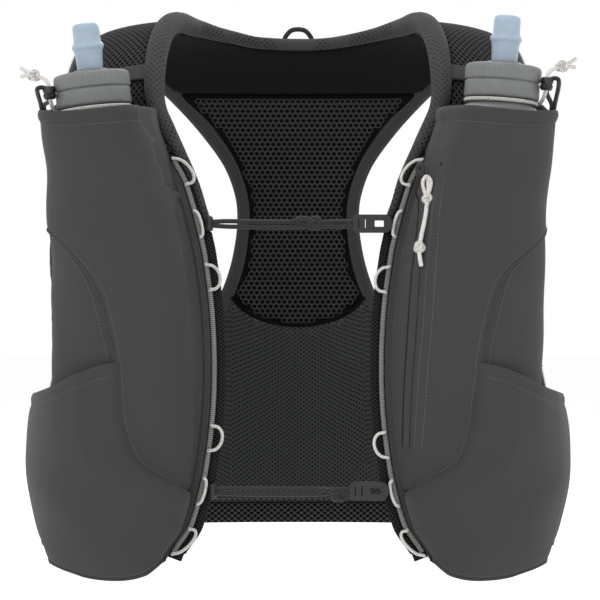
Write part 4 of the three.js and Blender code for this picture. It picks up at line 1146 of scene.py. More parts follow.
def pocket_spot(side, across, drop, height):
    """A point over the skin, and past its side end over the form."""
    z = -drop * HEM
    if across > 1:
        q = around(side, lerp(WING_FRONT, POCKET_BACK, (across - 1) / 0.4), z)
        flat = raised(q, lerp(CLOTH_OUT, POCKET_END_OUT, smooth(across, 1.10, 1.36)) + height)
        if across > POCKET_BLEND:
            return flat
        edge = skin(side, 1.0, z) + skin_out(side, 1.0, z) * height
        return edge.lerp(flat, smooth(across, 1.0, POCKET_BLEND))
    return skin(side, across, z) + skin_out(side, across, z) * height


def pocket_start(drop):
    """Where the pocket's cloth leaves the seam of the sleeve."""
    seam = read(SEAM, min(drop, SLEEVE_END)) - 0.012
    return lerp(seam, 0.0, smooth(drop, 0.822, 0.838))


def pocket_low(across):
    """The drop of the pocket's lower edge, just above the hem."""
    reach = 1.0 if across > 1 else lerp(POCKET_EDGE, PANEL_OUTER, across)
    return -hem_at(reach) / HEM - 0.004


def pocket_height(u, v):
    """How far the full pocket stands off the skin."""
    full = max(0.0, math.sin(math.pi * (0.12 + 0.88 * v))) ** 0.7
    base = lerp(-0.6, 2.0, smooth(u, 0.0, 0.025)) - 1.8 * smooth(u, 0.965, 1.0)
    return base + FULLNESS * full * min(1.0, math.sin(math.pi * u) * 2.2)


def lower_pocket(side):
    def at(u, v):
        mouth = read(MOUTH, lerp(POCKET_FROM, POCKET_REACH, u))
        drop = lerp(mouth, pocket_low(lerp(POCKET_LOW_FROM, POCKET_REACH, u)), v)
        across = lerp(pocket_start(drop), POCKET_REACH, u)
        height = pocket_height(u, v)
        folds = noise.noise(Vector((across * 2.6, drop * 9, side * 5.1))) * 2.2 \
            + 0.9 * math.sin(drop * HEM / 11 + across * 5) * math.sin(math.pi * v)
        height += folds * math.sin(math.pi * u) * (0.25 + math.sin(math.pi * v))
        height += drape(side, across, -drop * HEM) * (1 - smooth(u, 0.0, 0.12))
        down = (drop - mouth) * HEM
        rim = 0.9 * math.exp(-((down - 2.6) / 2.6) ** 2)
        rim -= 0.6 * math.exp(-((down - MOUTH_HEM) / 1.1) ** 2)
        return pocket_place(side, across, drop, height), \
            pocket_place(side, across, drop, height + CLOTH + rim)
    return at


def on_skin(side, reach, z):
    """The place across the skin that is seen at a reach from the front."""
    low, high = 0.0, 0.6
    for _ in range(30):
        middle = (low + high) / 2
        if abs(skin(side, middle, z).x) < reach * HALF_WIDTH:
            low = middle
        else:
            high = middle
    return low


# Round work: flasks, caps, valves, knots

# Each flask's place: how far forward it stands, how much higher, and how it leans, in degrees.
FORWARD = {"right": 111.31, "left": 112.31}
RISE = {"right": 0.0, "left": 5.0}
LEAN_ANGLE = {"right": 6.4, "left": 4.5}
FLASK_SIDE, COLLAR_DROP = 133.0, 57.6
# The flask's form: drop as a share, width and depth as shares.
FLASK_ROWS = [(0.0, 0.75, 1.08), (0.022, 0.75, 1.08), (0.030, 0.90, 1.10), (0.070, 0.92, 1.04),
              (0.35, 1.0, 1.0), (0.70, 0.94, 0.86), (0.90, 0.80, 0.60), (0.97, 0.62, 0.36),
              (1.0, 0.40, 0.16)]
FLASK_WIDTH, FLASK_DEPTH, FLASK_LENGTH, FLASK_TWIST = 57.0, 39.0, 181.0, 26.0
CAP_RADIUS, CAP_RING, CAP_TOP, KNURLS = 25.0, 11.0, 11.0, 40
VALVE_RADIUS, VALVE_HEIGHT, VALVE_FLATS = 10.5, 32.0, 12
# The valve's form: radius and height as shares. Its flat sides start at row VALVE_FLATS.
VALVE_ROWS = [(0, 0), (0.78, 0), (0.80, 0.01875), (0.82, 0.1875), (0.85, 0.34375), (0.89, 0.44),
              (0.93, 0.47), (0.98, 0.49), (1.0, 0.515), (1.0, 0.545), (0.97, 0.57), (0.92, 0.59),
              (0.89, 0.63), (0.88, 0.72), (0.88, 0.84), (0.88, 0.92), (0.84, 0.965), (0.74, 0.995),
              (0.60, 1.0), (0.42, 0.995), (0.30, 0.975), (0, 0.965)]


def flask_matrix(name, side):
    """Where a flask's collar stands, and how the flask leans."""
    return Matrix.Translation((side * FLASK_SIDE, -FORWARD[name], -COLLAR_DROP + RISE[name])) \
        @ Matrix.Rotation(side * math.radians(LEAN_ANGLE[name]), 4, "Y")


def in_metres(matrix):
    return Matrix.Scale(MM, 4) @ matrix @ Matrix.Scale(1 / MM, 4)


def flask_body(name, side):
    place = flask_matrix(name, side) @ Matrix.Rotation(side * math.radians(FLASK_TWIST), 4, "Z")
    rings, rows, count = [], 60, 48
    for j in range(rows):
        down = (j / (rows - 1)) ** 1.6
        wide, deep = read(FLASK_ROWS, down, 1), read(FLASK_ROWS, down, 2)
        ring = []
        for k in range(count):
            a = 2 * math.pi * k / count
            dent = 0.5 * noise.noise(Vector((math.cos(a) * 2, math.sin(a) * 2, down * 9 + side)))
            dent *= smooth(down, 0.03, 0.10)
            ring.append(place @ Vector((math.cos(a) * (FLASK_WIDTH / 2 * wide + dent),
                                        math.sin(a) * (FLASK_DEPTH / 2 * deep + dent),
                                        -0.4 - down * FLASK_LENGTH)))
        rings.append(ring)
    return loft(f"soft_flask_{name}", rings)


def flask_cap(name, side):
    r, top = CAP_RADIUS, CAP_RING + CAP_TOP
    lower = [(0, 0), (r - 1.4, 0), (r - 0.7, 0.5), (r - 0.4, 1.2), (r - 0.4, 3.0), (r - 0.5, 6.0),
             (r - 0.4, CAP_RING - 1.2), (r - 0.7, CAP_RING - 0.4), (r - 1.5, CAP_RING)]
    upper = [(r - 1.5, CAP_RING + 0.3), (r - 0.4, CAP_RING + 0.7), (r, CAP_RING + 1.4),
             (r, CAP_RING + 3), (r, CAP_RING + 5), (r, CAP_RING + 7), (r, top - 2.6),
             (r - 0.5, top - 1.2), (r - 1.5, top - 0.4), (r - 3.0, top), (r - 6, top), (r - 9, top - 0.2),
             (VALVE_RADIUS + 2.2, top - 0.2), (VALVE_RADIUS + 1.8, top + 0.1), (0, top + 0.1)]

    def knurl(angle, row):
        deep = dict(enumerate((0.5, 1.0, 1.0, 1.0, 0.9, 0.5), len(lower) + 2)).get(row, 0.0)
        groove = max(0.0, math.cos(angle * KNURLS)) ** 3
        ridge = 0.25 if 3 <= row <= 5 else 0.0
        return -0.45 * deep * groove - ridge * max(0.0, math.cos(angle * 12)) ** 6
    return turned(f"screw_cap_{name}", lower + upper, KNURLS * 8,
                  in_metres(flask_matrix(name, side)), knurl)


def bite_valve(name, side):
    rows = [(VALVE_RADIUS * wide, VALVE_HEIGHT * high) for wide, high in VALVE_ROWS]
    place = flask_matrix(name, side) @ Matrix.Translation((0, 0, CAP_RING + CAP_TOP + 0.4))

    def flats(angle, row):
        return -0.5 * max(0.0, math.cos(angle * 2)) ** 4 if row >= VALVE_FLATS else 0.0
    return turned(f"valve_{name}", rows, 64, in_metres(place), flats)


def cord_tube(name, points, thickness):
    return tube(name, points, thickness / 2, 12, 0.8)[0]


KNOT_WINDS, KNOT_WAVES, KNOT_POINTS = 2, 3, 48


def knot(name, centre, size, radius, turn=0.0):
    """A pulled-tight knot: one cord wound through itself."""
    points = []
    for i in range(KNOT_POINTS):
        t = 2 * math.pi * i / KNOT_POINTS
        winds, waves = KNOT_WINDS * t, KNOT_WAVES * t
        ring = 1 + 0.42 * math.cos(waves)
        p = Vector((ring * math.cos(winds), 0.62 * math.sin(waves), ring * math.sin(winds)))
        p = Matrix.Rotation(turn, 3, "Y") @ p
        points.append(Vector(centre) + Vector((p.x * size[0], p.y * size[1], p.z * size[2])) * 0.62)
    return tube(name, points, radius, 8, 0.8, closed=True)[0]


def plate(name, outline, holes, thickness, bevel, place):
    """A flat moulded plate with holes, from outlines in its own plane."""
    curve = bpy.data.curves.new(name, "CURVE")
    curve.dimensions, curve.fill_mode = "2D", "BOTH"
    curve.extrude = (thickness / 2 - bevel) * MM
    curve.bevel_depth, curve.bevel_resolution = bevel * MM, 3
    for points in [outline] + holes:
        line = curve.splines.new("POLY")
        line.points.add(len(points) - 1)
        line.points.foreach_set("co", [c for x, y in points for c in (x * MM, y * MM, 0, 1)])
        line.use_cyclic_u = True
    made = links(bpy.data.objects.new(name, curve))
    graph = bpy.context.evaluated_depsgraph_get()
    mesh = bpy.data.meshes.new_from_object(made.evaluated_get(graph), depsgraph=graph)
    bpy.data.objects.remove(made)
    mesh.transform(in_metres(place))
    bm = bmesh.new()
    bm.from_mesh(mesh)
    bmesh.ops.remove_doubles(bm, verts=bm.verts, dist=2e-6)
    bm.to_mesh(mesh)
    bm.free()
    mesh.name = name
    obj = outside(links(bpy.data.objects.new(name, mesh)))
    for polygon in obj.data.polygons:
        polygon.use_smooth = False
    return obj


UPRIGHT = Matrix.Rotation(math.pi / 2, 4, "X")


def rounded_box(cx, cy, width, height, radius, steps=5):
    """The outline of a box with round corners."""
    points = []
    for sx, sy, start in ((1, 1, 0), (-1, 1, 90), (-1, -1, 180), (1, -1, 270)):
        for k in range(steps + 1):
            a = math.radians(start + 90 * k / steps)
            points.append((cx + sx * (width / 2 - radius) + math.cos(a) * radius,
                           cy + sy * (height / 2 - radius) + math.sin(a) * radius))
    return points


# The pieces, one operator for each group

def skin_line(side, places, height):
    """A seam on the skin: (across, drop) places give points and their way out."""
    line = []
    for across, drop in places:
        z = -drop * HEM
        out = skin_out(side, across, z)
        line.append((skin(side, across, z) + out * (height + drape(side, across, z)), out))
    return line


def form_line(points, height):
    """A seam on the form: points at a height, and their way out."""
    return [(raised(p, height), outward(p)) for p in points]


PAD_ROUND, PATCH_CLIMB, PATCH_FROM, PATCH_TO = 2.6, 0.43, 0.57, 0.85


class VEST_OT_pads(bpy.types.Operator):
    """Make the padded mesh panels of the front and the shoulders."""
    bl_idname, bl_label = "vest.pads", "Front and shoulder pads"

    def execute(self, context):
        for name, side in SIDES.items():
            front = shell(f"front_pad_{name}", shares(26), shares(64), front_panel(side), PAD_ROUND)
            crest = shell(f"shoulder_pad_{name}", shares(26), shares(34), shoulder_panel(side),
                          PAD_ROUND)
            rows = [(over(side, reach, PATCH_CLIMB), 6.5, 4.0, 6.0)
                    for reach in np.linspace(PATCH_FROM, PATCH_TO, 9)]
            patch, _ = band(f"shoulder_patch_{name}", rows, square=5)
            settle(patch, finish("stretch"))
            for piece, node in ((front, "front_panel"), (crest, "shoulder_panel")):
                swell(piece, details().pressure, 1.0)
                settle(piece, finish("panel"), [f"{node}_{name}"])
        return {"FINISHED"}


# Each back pad's name, form, finish, node, numbers of rows, and whether it swells.
BACK_PADS = [("yoke_lining", yoke, "yoke", "yoke_pad", 30, 10, True),
             ("back_foam_painted_shade", back_mesh, "back", "back_mesh", 30, 44, False),
             ("lumbar_pad", lumbar, "lumbar", "lumbar_panel", 44, 30, True),
             ("hem_mesh", hem_band, "band", "hem_band", 40, 5, False)]
# The net and the cells: where their rows start and how far they go, as shares of HEM. NET_ROW is a
# share of the pitch, NET_THREAD a share of the ring, and the other sizes are in millimetres.
NET_TOP, NET_LENGTH, NET_ROW, NET_THREAD = 0.096, 0.475, 0.84, 0.24
CELL_TOP, CELL_LENGTH, CELL_PITCH, CELL_ROW, CELL_SIZE = 0.512, 0.40, 4.3, 3.1, (1.7, 1.1, 0.55)


def net_places(pitch):
    """Places for the rings of the net on both faces of the back mesh."""
    places = []
    row = pitch * NET_ROW
    for j in range(int(NET_LENGTH * HEM / row)):
        drop = NET_TOP + (j + 0.5) * pitch * NET_ROW / HEM
        half = read(BACK_SEAM, drop) * HALF_WIDTH - 2
        for i in range(-int(half / pitch) - 1, int(half / pitch) + 2):
            x = (i + 0.5 * (j % 2)) * pitch
            share = x / max(1.0, half)
            if abs(share) > 1 or drop > SMILE - SMILE_RISE * share ** 2 - 0.006:
                continue
            p = spot(1 if x >= 0 else -1, abs(x) / HALF_WIDTH, -drop * HEM, 1)
            out = outward(p)
            places.append((p - out * 0.1, out, (1, 0, 0)))
            places.append((p + out * (BACK_PAD + 0.2), out, (1, 0, 0)))
    return places


def cell_places():
    """Places for the raised cells on both faces of the lumbar panel."""
    places = []
    for j in range(int(CELL_LENGTH * HEM / CELL_ROW)):
        for i in range(-30, 31):
            x = (i + 0.5 * (j % 2)) * CELL_PITCH
            reach, drop = abs(x) / HALF_WIDTH, CELL_TOP + j * CELL_ROW / HEM
            top = read(LUMBAR_TOP, reach)
            if reach < SMILE_HALF:
                top = SMILE - SMILE_RISE * (reach / SMILE_HALF) ** 2
            if reach > LUMBAR_HALF - 0.03 or not top + 0.012 <= drop <= LUMBAR_LOW - 0.006:
                continue
            p = spot(1 if x >= 0 else -1, reach, -drop * HEM, 1)
            out = outward(p)
            places.append((p + out * 0.1, out, (1, 0, 0)))
            places.append((p + out * (BACK_PAD - 0.1), out, (1, 0, 0)))
    return places


class VEST_OT_back(bpy.types.Operator):
    """Make the yoke, the open back mesh, the lumbar panel, its hem and the stow pocket."""
    bl_idname, bl_label = "vest.back", "Back panels"

    def execute(self, context):
        for name, shape, cloth, node, wide, tall, swells in BACK_PADS:
            piece = shell(name, shares(wide), shares(tall), shape, 2.4)
            if swells:
                swell(piece, details().pressure, 0.8)
            settle(piece, finish(cloth), [node])
        # The smile seams take the back foam's near-black colour, which is partly painted shade.
        for label, lift in (("inner", 0.2), ("outer", BACK_PAD)):
            smile = [raised(back_mesh(u, 1.0)[0], lift) for u in np.linspace(0.0, 1.0, 25)]
            seam, _ = tube(f"smile_seam_{label}", smile, 1.5, 10, 1.5)
            settle(seam, finish("back"))
        pitch = details().net_pitch / MM
        net = repeat("back_net", net_places(pitch), "ring", finish("net"), pitch * 0.5, pitch * 0.46,
                     pitch * 0.5, NET_THREAD)
        settle(net)
        cells = repeat("lumbar_cells", cell_places(), "bead", finish("cell"), *CELL_SIZE)
        settle(cells)
        pocket = shell("stow_cloth", shares(60), shares(46), stow_pocket)
        settle(pocket, finish("stretch"), ["back_pocket"])
        back = Vector((0, 1, 0))
        lines = [[(stow_pocket(u, v / 40)[1], back) for v in range(41)] for u in (0.03, 0.97)]
        lines += [[(stow_pocket(u / 60, v)[1], back) for u in range(61)] for v in (0.03, 0.06, 0.97)]
        stitches("stow_stitches", lines)
        return {"FINISHED"}


SEAM_FROM, SEAM_TO, SEAM_CORD = 0.362, 0.825, 0.75


class VEST_OT_sleeves(bpy.types.Operator):
    """Make the flask sleeves, the side panels beside them and the wings under the arms."""
    bl_idname, bl_label = "vest.sleeves", "Stretch sleeves and sides"

    def execute(self, context):
        near = (0.0, 0.01, 0.02, 0.032)
        for name, side in SIDES.items():
            rows = [("flask_sleeve", flask_sleeve(side), "flask_pocket", 70, 90, f"soft_flask_{name}"),
                    ("side_cloth", side_panel(side), "side_panel", 34, 70, f"front_pad_{name}"),
                    ("wing_cloth", side_wing(side), "side_wing", 44, 30, f"front_pad_{name}")]
            for label, shape, node, wide, tall, below in rows:
                piece = shell(f"{label}_{name}", shares(wide, near), shares(tall, near), shape)
                settle(piece, finish("stretch"), [f"{node}_{name}"])
            seam = [(read(SEAM, d), d) for d in np.linspace(SEAM_FROM, SEAM_TO, 50)]
            rim = [(u, (rim_drop(u) + RIM_HEM) / HEM) for u in np.linspace(0.02, 0.99, 60)]
            lines = [skin_line(side, [(a - 0.022, d) for a, d in seam], CLOTH + 0.1),
                     skin_line(side, [(min(1, a + 0.026), d) for a, d in seam], CLOTH + 0.1),
                     skin_line(side, rim, CLOTH - 0.2)]
            stitches(f"sleeve_stitches_{name}", lines)
            welt_line = [p for p, _ in skin_line(side, seam, CLOTH - 0.1)]
            welt, _ = tube(f"sleeve_seam_{name}", welt_line, SEAM_CORD, 8, 2.0)
            settle(welt, finish("stretch"))
        return {"FINISHED"}


WELT_RADIUS, TACK_PITCH = 1.1, 0.7


class VEST_OT_pockets(bpy.types.Operator):
    """Make the full lower pockets, with gathered mouths, welts and bar tacks."""
    bl_idname, bl_label = "vest.pockets", "Lower pockets"

    def execute(self, context):
        near = (0.0, 0.005, 0.01, 0.016)
        for name, side in SIDES.items():
            shape = lower_pocket(side)
            piece = shell(f"pocket_cloth_{name}", shares(110, near), shares(56), shape)
            settle(piece, finish("stretch"), [f"lower_pocket_{name}"])

            def line(v, u_from, u_to):
                made = []
                for u in np.linspace(u_from, u_to, 90):
                    low, high = shape(u, v)
                    made.append((high, (high - low).normalized()))
                return made
            mouth_hem = MOUTH_HEM / ((pocket_low(0.9) - read(MOUTH, 0.9)) * HEM)
            lines = [line(mouth_hem, 0.01, 0.985), line(0.975, 0.02, 0.98)]
            stitches(f"pocket_stitches_{name}", lines)
            welt_line = [p for p, _ in line(0.995, 0.01, 0.99)]
            welt, _ = tube(f"pocket_welt_{name}", welt_line, WELT_RADIUS, 8, 2.0)
            settle(welt, finish("binding"))
            end = line(0.5 * mouth_hem, 0.945, 0.985)
            tack = [(p + out * 0.5, out, (0, 0, 1)) for p, out, _ in along_line(end, TACK_PITCH)]
            settle(repeat(f"bar_tack_{name}", tack, "bead", finish("dark_thread"), 3.4, 0.42, 0.5))
        return {"FINISHED"}


ROLL_ROWS, DOT_STEP, DOT_PITCH, DOT_ARC, DOT_SIZE = 90, 2.0, 4.0, 3.1, (0.8, 0.7, 0.5)


class VEST_OT_roll(bpy.types.Operator):
    """Make the soft perforated roll round the neck."""
    bl_idname, bl_label = "vest.roll", "Neck roll"

    def execute(self, context):
        half = []
        for k in range(ROLL_ROWS):
            climb = lerp(ROLL_LINE[0][0], ROLL_LINE[-1][0], k / (ROLL_ROWS - 1))
            half.append((climb, read(ROLL_LINE, climb), read(ROLL_LINE, climb, 2) * ROLL / 2))
        places = [(-1, row) for row in half] + [(1, row) for row in half[-2::-1]]
        centres = [raised(over(side, reach, climb), radius * 0.5)
                   for side, (climb, reach, radius) in places]
        radii = [radius for _, (_, _, radius) in places]
        keys = np.array([tuple(c) for c in centres])
        run = run_of(keys)
        thinned = centres[::3] + ([centres[-1]] if (len(centres) - 1) % 3 else [])
        made, _ = tube("neck_roll_knit", thinned,
                       lambda share: float(np.interp(share * run[-1], run, radii)), 28, 2.0)
        settle(made, finish("roll"), ["neck_roll"])
        # The perforations are near-black discs of painted shade laid on the roll.
        dots = []
        for k in range(3, int(run[-1] / DOT_STEP) - 2):
            at = k * DOT_STEP
            centre = Vector(read_along(keys, run, at))
            ahead = Vector(read_along(keys, run, at + 1)) - centre
            radius = float(np.interp(at, run, radii))
            out = outward(centre)
            across = ahead.cross(out).normalized()
            turns = max(1, int(radius * DOT_ARC / DOT_PITCH))
            for i in range(-turns - 1, turns + 2):
                arc = (i + 0.5 * (k % 2)) * DOT_PITCH / radius
                if abs(arc) < DOT_ARC:
                    way = out * math.cos(arc) + across * math.sin(arc)
                    dots.append((centre + way * (radius + 0.04), way, ahead))
        settle(repeat("roll_hole_shade_dots", dots, "disc", finish("dot"), *DOT_SIZE))
        return {"FINISHED"}


BINDING_WIDTH, BINDING_HEIGHT, BINDING_SEAM = 5.0, 5.6, 3.2


class VEST_OT_bindings(bpy.types.Operator):
    """Make the bindings round the armholes."""
    bl_idname, bl_label = "vest.bindings", "Armhole bindings"

    def execute(self, context):
        for name, side in SIDES.items():
            rows = []
            for drop, reach, face, width in ARMHOLE:
                p = spot(side, reach, min(-drop * HEM, crest_at(reach) - 0.5), face)
                rows.append((p, width * BINDING_WIDTH, 0.0, BINDING_HEIGHT))
            piece, path = band(f"armhole_band_{name}", rows, closed=True, pitch=3.0)
            settle(piece, finish("binding"), [f"armhole_binding_{name}"])
            lines = []
            for shift in (-BINDING_SEAM, BINDING_SEAM):
                for lift in (BINDING_HEIGHT - 0.1, 0.0):
                    line = []
                    for i in range(len(path)):
                        p, out = Vector(path[i]), outward(Vector(path[i]))
                        ahead = Vector(path[(i + 1) % len(path)] - path[i - 1])
                        line.append((p + ahead.cross(out).normalized() * shift + out * lift, out))
                    lines.append(line)
            stitches(f"armhole_stitches_{name}", lines)
        return {"FINISHED"}


TRIM_SHIFT = CORDING_SHIFT - (CORDING_WIDTH + TRIM_WIDTH + 0.8) / 2 / HALF_WIDTH
# Each strip's name, node, top, shift, half width, lower and upper height, finish and colour slot.
EDGE_STRIPS = [("rib_cord", "edge_cording", CORDING_TOP, CORDING_SHIFT, 1.6, 2.0, 5.2, "core", "coil"),
               ("edge_tape", "edge_trim", TRIM_TOP, TRIM_SHIFT, 2.7, 0.5, 3.6, "trim", "binding")]
BACKING_TOP, BACKING_LOW, BACKING_SHIFT, WELT_LOW, WELT_SHIFT = 0.205, 0.957, -0.014, 0.952, 0.018


class VEST_OT_edges(bpy.types.Operator):
    """Make the ribbed cording and the perforated trim down the two front edges."""
    bl_idname, bl_label = "vest.edges", "Front edges"

    def execute(self, context):
        for name, side in SIDES.items():
            def edge_line(shift, top, low):
                return [beside_edge(side, shift, -drop * HEM) for drop in np.linspace(top, low, 60)]
            for label, node, top, shift, half, low, high, cloth, slot in EDGE_STRIPS:
                points = edge_line(shift, top, EDGE_BOTTOM)
                piece, _ = band(f"{label}_{name}", [(p, half, low, high) for p in points], square=2.4)
                settle(piece, finish(cloth), [f"{node}_{name}"])
                if label == "rib_cord":
                    ribs = along_line(form_line(points, 4.1), details().rib_pitch / MM)
                    settle(repeat(f"cord_ribs_{name}", ribs, "bead", finish("coil"), 0.44, 2.0, 2.2))
            under = edge_line(BACKING_SHIFT, BACKING_TOP, BACKING_LOW)
            backing, _ = band(f"edge_backing_{name}", [(p, 6.2, 0.2, 2.2) for p in under], square=4)
            settle(backing, finish("trim"))
            drops = np.linspace(CORDING_TOP, WELT_LOW, 60)
            wider = [smooth(drop, 0.80, 0.87) for drop in drops]
            tape = [beside_edge(side, WELT_SHIFT + 0.012 * more, -drop * HEM)
                    for drop, more in zip(drops, wider)]
            rows = [(p, 3.1 + 2.2 * more, 3.6, 5.9) for p, more in zip(tape, wider)]
            edge, _ = band(f"edge_welt_{name}", rows, square=2.6)
            settle(edge, finish("stretch"))
            stitches(f"edge_stitches_{name}", [form_line(tape, 6.0)])
        return {"FINISHED"}


# The drops of the lace loops down each edge.
LACE_DROPS = {"right": (0.270, 0.362, 0.457, 0.742, 0.836, 0.925),
              "left": (0.272, 0.362, 0.461, 0.754, 0.840, 0.928)}
LACE_HALF, LACE_REACH, STRAP_LACE_REACH, LACE_SEAT, LACE = 8.2, 8.5, 3.2, 7.45, 2.1


class VEST_OT_laces(bpy.types.Operator):
    """Make the white lace loops down the front edges."""
    bl_idname, bl_label = "vest.laces", "Lace loops"

    def execute(self, context):
        for name, side in SIDES.items():
            for i, drop in enumerate(LACE_DROPS[name]):
                reach = STRAP_LACE_REACH if i in (1, 4) else LACE_REACH

                def place(down, inward, height, drop=drop):
                    p = raised(beside_edge(side, CORDING_SHIFT, -drop * HEM - down), height)
                    p.x -= side * inward
                    return p
                points = [place(-LACE_HALF - 0.6, 0.2, LACE_SEAT - 2.4)]
                for turn in np.linspace(0.0, math.pi, 9):
                    inward = 0.7 + (reach - 0.7) * math.sin(turn) ** 0.8
                    lift = LACE_SEAT + 0.5 * math.sin(turn)
                    points.append(place(-LACE_HALF * math.cos(turn), inward, lift))
                points.append(place(LACE_HALF + 0.6, 0.2, LACE_SEAT - 2.4))
                piece, _ = tube(f"lace_{name}_{i + 1}", points, LACE / 2, 10, 0.6)
                settle(piece, finish("lace"), [f"lash_loop_{name}_{i + 1}"])
        return {"FINISHED"}


# Each sternum cord's drop, how far its knot stands from the clip, and how much lower.
STRAPS = {"upper": (0.3622, 24.4, 0.0), "lower": (0.8351, 6.9, 2.8)}
CORD, STRAND_RISE, TOGGLE = 3.0, 1.8, 5.0
CLIP_LENGTH, CLIP_HEIGHT, CLIP_THICK, CLIP_GAP = 24.0, 11.0, 4.4, 0.4
TOGGLE_HALF = [(0, -5.2), (1.5, -4.9), (2.4, -4.0), (2.6, -2.4), (2.2, -1.0)]


def sternum_strand(start, end, y, z, rise, knot_x):
    """One of a sternum cord's two strands, pinched at its ends and at the knot."""
    line = []
    for k in range(13):
        t = k / 12
        near = math.exp(-((lerp(start, end, t) - knot_x) / 9) ** 2)
        pinch = 1 - 0.35 * math.exp(-(t / 0.06) ** 2) - 0.35 * near
        pinch -= 0.3 * math.exp(-((1 - t) / 0.08) ** 2)
        sag = 0.5 * math.sin(math.pi * t)
        line.append((lerp(start, end, t), y - 0.3 * math.sin(t * 9), z + rise * pinch - sag))
    return line


def sternum_clip(name, place):
    """A moulded clip: a plate with three slots and a hook at its end."""
    half_length, half_height = CLIP_LENGTH / 2, CLIP_HEIGHT / 2
    outline = rounded_box(0, 0, CLIP_LENGTH - 0.4, CLIP_HEIGHT - 0.4, 2.4)
    holes = [rounded_box(half_length * 0.40, 0, 7.4, CLIP_HEIGHT * 0.5, 1.2),
             rounded_box(-half_length * 0.36, 0, 1.9, CLIP_HEIGHT * 0.66, 0.8),
             rounded_box(-half_length * 0.72, 0, 1.7, CLIP_HEIGHT * 0.60, 0.8)]
    clip = plate(f"clip_body_{name}", outline, holes, CLIP_THICK, 0.7, place)
    end = rounded_box(half_length * 0.93, 0, 3.0, half_height * 1.1, 1.0)
    hook = plate(f"clip_hook_{name}", end, [], CLIP_THICK + 1.0, 0.6, place)
    return merge(f"clip_{name}", [clip, hook])


class VEST_OT_sternum(bpy.types.Operator):
    """Make the two sternum cords, with knots, end toggles and moulded clips."""
    bl_idname, bl_label = "vest.sternum", "Sternum cords"

    def execute(self, context):
        for name, (drop, back, low) in STRAPS.items():
            z = -drop * HEM
            edge = (edge_reach(z) + CORDING_SHIFT) * HALF_WIDTH
            y = raised(spot(1, edge_reach(z) + CORDING_SHIFT, z, -1), LACE_SEAT).y - 0.5
            clip_end = edge - STRAP_LACE_REACH - LACE / 2 - CLIP_GAP
            toggle_x = -(clip_end - TOGGLE / 2)
            start, end = toggle_x + TOGGLE / 2 - 1.0, clip_end - CLIP_LENGTH + 5.0
            knot_x = clip_end - CLIP_LENGTH - CLIP_GAP - back
            knot_z = z - low
            pieces = []
            for rise in (-STRAND_RISE, STRAND_RISE):
                line = sternum_strand(start, end, y, z, rise, knot_x)
                pieces.append(cord_tube(f"strand_{name}", line, CORD))
            pieces.append(knot(f"knot_{name}", (knot_x, y, knot_z), (5.4, 3.6, 4.6), CORD / 2 * 0.94, 0.5))
            tail = [(knot_x - 2, y - 1, knot_z + 1), (knot_x - 6, y - 2.2, knot_z + 3.0),
                    (knot_x - 10, y - 2.4, knot_z + 3.6), (knot_x - 13.5, y - 1.8, knot_z + 2.2)]
            pieces.append(cord_tube(f"tail_{name}", tail, CORD))
            cords = merge(f"sternum_braid_{name}", pieces)
            settle(cords, finish("cord"), [f"sternum_cord_{name}"])
            rows = TOGGLE_HALF + [(radius, -height) for radius, height in TOGGLE_HALF[::-1]]
            oval = Matrix.Translation((toggle_x, y, z)) @ Matrix.Diagonal((1, 1.2, 1, 1))
            ball = turned(f"toggle_ball_{name}", rows, 32, in_metres(oval))
            settle(ball, finish("hardware"), [f"sternum_toggle_{name}"])
            flat = Matrix.Translation((clip_end - CLIP_LENGTH / 2, y, z)) @ UPRIGHT
            settle(sternum_clip(name, flat), finish("hardware"), [f"sternum_clip_{name}"])
        return {"FINISHED"}


COLLAR_ROWS = [(9.3, 0), (11.6, 0), (11.6, 1.6), (10.9, 2.3), (9.3, 2.3), (9.3, 0)]


class VEST_OT_flasks(bpy.types.Operator):
    """Make the soft flasks, their knurled screw caps and their bite valves."""
    bl_idname, bl_label = "vest.flasks", "Flasks and caps"

    def execute(self, context):
        for name, side in SIDES.items():
            body = f"cap_{name}"
            settle(flask_body(name, side), finish("film"), [f"flask_body_{name}"])
            settle(flask_cap(name, side), finish("cap"), [f"flask_cap_{name}"], body)
            settle(bite_valve(name, side), finish("silicone"), [f"bite_valve_{name}"], body)
            on_cap = flask_matrix(name, side) @ Matrix.Translation((0, 0, CAP_RING + CAP_TOP - 0.1))
            collar = turned(f"valve_collar_{name}", COLLAR_ROWS, 48, in_metres(on_cap))
            settle(collar, finish("cap"), body=body)
        return {"FINISHED"}


NECK_DROP, NECK_RING, NECK_CORD, TETHER_CORD, LOCK = 2.0, 23.2, 2.6, 3.0, 4.2
# The drawcord's three runs from the ring round the flask's neck: out to the side, back and up.
CORD_RUNS = [[(0, 0, 0), (2.8, -5, 1.6), (5.1, -10, 7.8), (6.3, -10, 17.8), (8.9, -8, 22), (14, -7, 24)],
             [(17, -7, 25), (21, -7, 27), (25, -7, 29.5)],
             [(17, -7.5, 24), (21, -8, 24.6), (24.5, -8, 23.6)]]
DRAW_KNOT = (16, -7, 24.5)
LOCK_ROWS = [(1.9, -4.2), (3.0, -4.2), (3.5, -3.9), (4.0, -3.1), (4.2, -2.2), (4.2, -0.9),
             (3.7, -0.5), (3.7, 0.5), (4.2, 0.9), (4.2, 2.4), (3.9, 3.4), (3.3, 4.1), (1.9, 4.2),
             (1.9, -4.2)]
BUTTON_ROWS = [(0, 3.6), (1.8, 3.6), (2.1, 4.0), (2.1, 5.6), (1.6, 6.1), (0, 6.2)]


def cord_lock(name, middle, way):
    """A barrel lock on the drawcord, with its button to the front."""
    turn = Vector((0, 0, 1)).rotation_difference(way).to_matrix().to_4x4()
    place = Matrix.Translation(middle) @ turn
    barrel = turned(f"lock_barrel_{name}", LOCK_ROWS, 40, in_metres(place))
    button = turned(f"lock_button_{name}", BUTTON_ROWS, 24, in_metres(place @ UPRIGHT))
    return merge(f"lock_{name}", [barrel, button])


